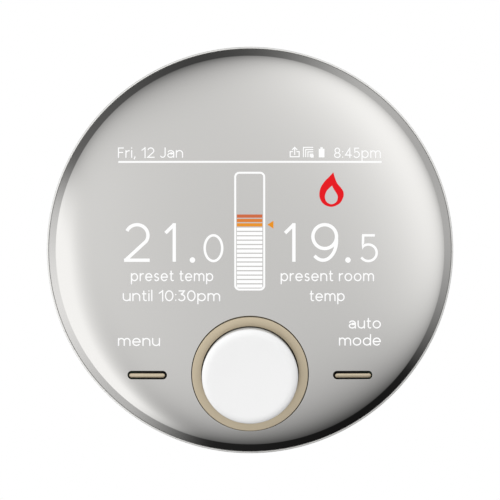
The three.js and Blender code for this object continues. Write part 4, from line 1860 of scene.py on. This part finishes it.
@dataclass
class Studio:
    """Floor, lights, world and camera.

    The case fills `case_share` of the view's width. The drop to the floor and the lights' size are in metres.
    """

    lens: float = 600.0
    sensor: float = 36.0
    case_share: float = 0.8128
    case_radius: float = 50.0
    rim_depth: float = 20.0
    floor_drop: float = 0.32
    floor_size: Flat = (340.0, 6.0)
    glows: Flat = (0.002, 0.117)
    darkest: float = 0.004
    window_light: float = 1.432
    horizon: Flat = (-0.356, -0.077)
    light_size: Flat = (0.9, 0.7)

    def build(self) -> None:
        """Sets the object in a plain soft studio."""
        self._floor()
        self._world()
        self._lights()
        self._camera()

    def _floor(self) -> None:
        """A plain pale round floor well below the object."""
        reach, thick = self.floor_size
        floor = tube(0, 0, reach, 0, 0, thick, steps=128)
        floor.turn(Matrix.Translation((0, 0, -self.floor_drop)) @ Matrix.Rotation(math.pi / 2, 4, "X"))
        made = add_object("studio_floor", floor.finished("studio_floor"))
        made.data.materials.append(FLOOR.material())
        made.visible_glossy = False

    def _world(self) -> None:
        """White all round for the camera, and the studio for everything else."""
        world = bpy.data.worlds.new("studio")
        bpy.context.scene.world = world
        world.use_nodes = True
        s = Shader(world.node_tree)
        way = s.node("ShaderNodeTexCoord", output="Generated")
        x, y, z = s.split(way)
        front, left = 0 - y, 0 - x
        room = self._cards(s, way, FRONT_CARDS, self.glows[0])
        window = WINDOW_SIDE.inside(s, left, front)
        window = window * WINDOW_FOOT.inside(s, z, left) * WINDOW_TOP.inside(s, z, left)
        room = room * (1 - window) + window * self.window_light
        behind = self._cards(s, way, BACK_CARDS, self.glows[1])
        horizon = s.ease(front, *self.horizon)
        tone = behind + (room - behind) * horizon
        grey = s.mix(tone * 0.5, (0.0, 0.0, 0.0), (2.0, 2.0, 2.0))
        studio = s.node("ShaderNodeBackground", inputs={"Color": grey, "Strength": 1.0})
        backdrop = s.node("ShaderNodeBackground", inputs={"Color": (1, 1, 1, 1), "Strength": 1.0})
        seen = s.node("ShaderNodeLightPath", output="Is Camera Ray")
        chosen = s.node("ShaderNodeMixShader", inputs={0: seen, 1: studio, 2: backdrop})
        s.node("ShaderNodeOutputWorld", inputs={"Surface": chosen})

    def _cards(self, s: Shader, way: Signal, cards: Sequence[Card], glow: float) -> Signal:
        """The light of several cards on top of an even glow, and never quite dark.

        Args:
            s: the shader under construction.
            way: the direction looked in.
            cards: the cards of one half of the room.
            glow: the even glow.

        Returns:
            The brightness.
        """
        total: Term = glow
        for card in cards:
            x, front, z = card.towards
            off_axis = (s.facing(way, (x, -front, z)) - 1) * card.tightness
            total = total + s.node("ShaderNodeMath", {"operation": "EXPONENT"}, {0: off_axis}) * card.strength
        return s.node("ShaderNodeMath", {"operation": "MAXIMUM"}, {0: total, 1: self.darkest})

    def _lights(self) -> None:
        """Two broad soft lights for the parts that aren't mirrors: one on the front, one on the back."""
        self._softbox("front_softbox", (-0.55, -0.95, 0.6), 10.0)
        self._softbox("back_softbox", (0.5, 1.0, 0.55), 7.0)

    def _softbox(self, name: str, place: Triple, power: float) -> None:
        """A rectangular soft light that shines on the object.

        Args:
            name: its name.
            place: where it stands.
            power: its power in watts.
        """
        data = bpy.data.lights.new(name, "AREA")
        data.shape = "RECTANGLE"
        data.size, data.size_y = self.light_size
        data.energy = power
        light = add_object(name, data)
        light.location = place
        light.rotation_euler = (-light.location).to_track_quat("-Z", "Y").to_euler()
        light.visible_glossy = False
        light.visible_camera = False

    def _camera(self) -> None:
        """A long lens, square on to the front."""
        data = bpy.data.cameras.new("camera")
        data.lens = self.lens
        data.sensor_width = self.sensor
        data.clip_end = 50.0
        camera = add_object("camera", data)
        away = self.lens / self.sensor * 2 * self.case_radius / self.case_share
        camera.location = (0, -(away + self.rim_depth) * MM, 0)
        camera.rotation_euler = (math.pi / 2, 0, 0)
        bpy.context.scene.camera = camera


# ---------------------------------------------------------------- main


def dial_place(dome: Dome, z: float = -30.45, hole: float = 14.4, proud: float = 0.15) -> Place:
    """The dial's frame: it leans with the dome.

    Args:
        dome: the cover's dome.
        z: height of the dial's centre.
        hole: radius of its hole.
        proud: how far its face stands above the dome at its sides.

    Returns:
        The frame.
    """
    top, bottom = dome.depth(abs(z) - hole), dome.depth(abs(z) + hole)
    return Place((0, -dome.depth(math.hypot(z, hole)) - proud, z), math.atan2(top - bottom, 2 * hole))


def screws(dial: Place) -> list[CrossScrew]:
    """Every screw of the object.

    Args:
        dial: the dial's frame.

    Returns:
        The screws, still to be built.
    """
    room, made = Facing.ROOM, []
    for i, (x, z) in enumerate(CASE_SCREW_PLACES, 1):
        made.append(CrossScrew(f"case_screw_{i}", "head", CASE_SCREW, Facing.WALL, x, z, 2.9))
    for i, (x, z) in enumerate(BOARD_SCREW_PLACES, 1):
        made.append(CrossScrew(f"main_board_screw_{i}", "head", BOARD_SCREW, room, x, z, 20.75))
    for name, side in (("left", -1), ("right", 1)):
        x, wall_x = side * DIAL_SCREW_X, side * WALL_SCREW_X
        made.append(CrossScrew(f"dial_board_screw_{name}", "head", DIAL_SCREW, room, x, 0, -18.7, dial))
        made.append(CrossScrew(f"wall_screw_{name}", "wall_plate", WALL_SCREW, room, wall_x, 0, 1.35))
    return made


def main() -> None:
    """Builds the thermostat's looks and its studio."""
    logging.basicConfig(level=logging.INFO, format="%(name)s: %(message)s")
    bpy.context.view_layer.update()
    dome = Dome()
    dial = dial_place(dome)
    keys = [SlotKey("menu", -1, dome), SlotKey("mode", 1, dome)]
    cells = [DryCell(1, 1, 11.5), DryCell(2, -1, -3.5), CellSpring(1, -1, 11.5), CellSpring(2, 1, -3.5)]
    front = [FrontCover(dome, dial), RearCover(dial), Dial(dial), *keys, Display(dome)]
    for maker in [*front, WallPlate(), *screws(dial), *cells]:
        for piece in maker.build():
            log.info("%s: %s, %d faces", type(maker).__name__, piece.name, len(piece.data.polygons))
    dress_nodes()
    Studio().build()
    bpy.context.scene.view_settings.view_transform = "Standard"


if __name__ == "__main__":
    main()
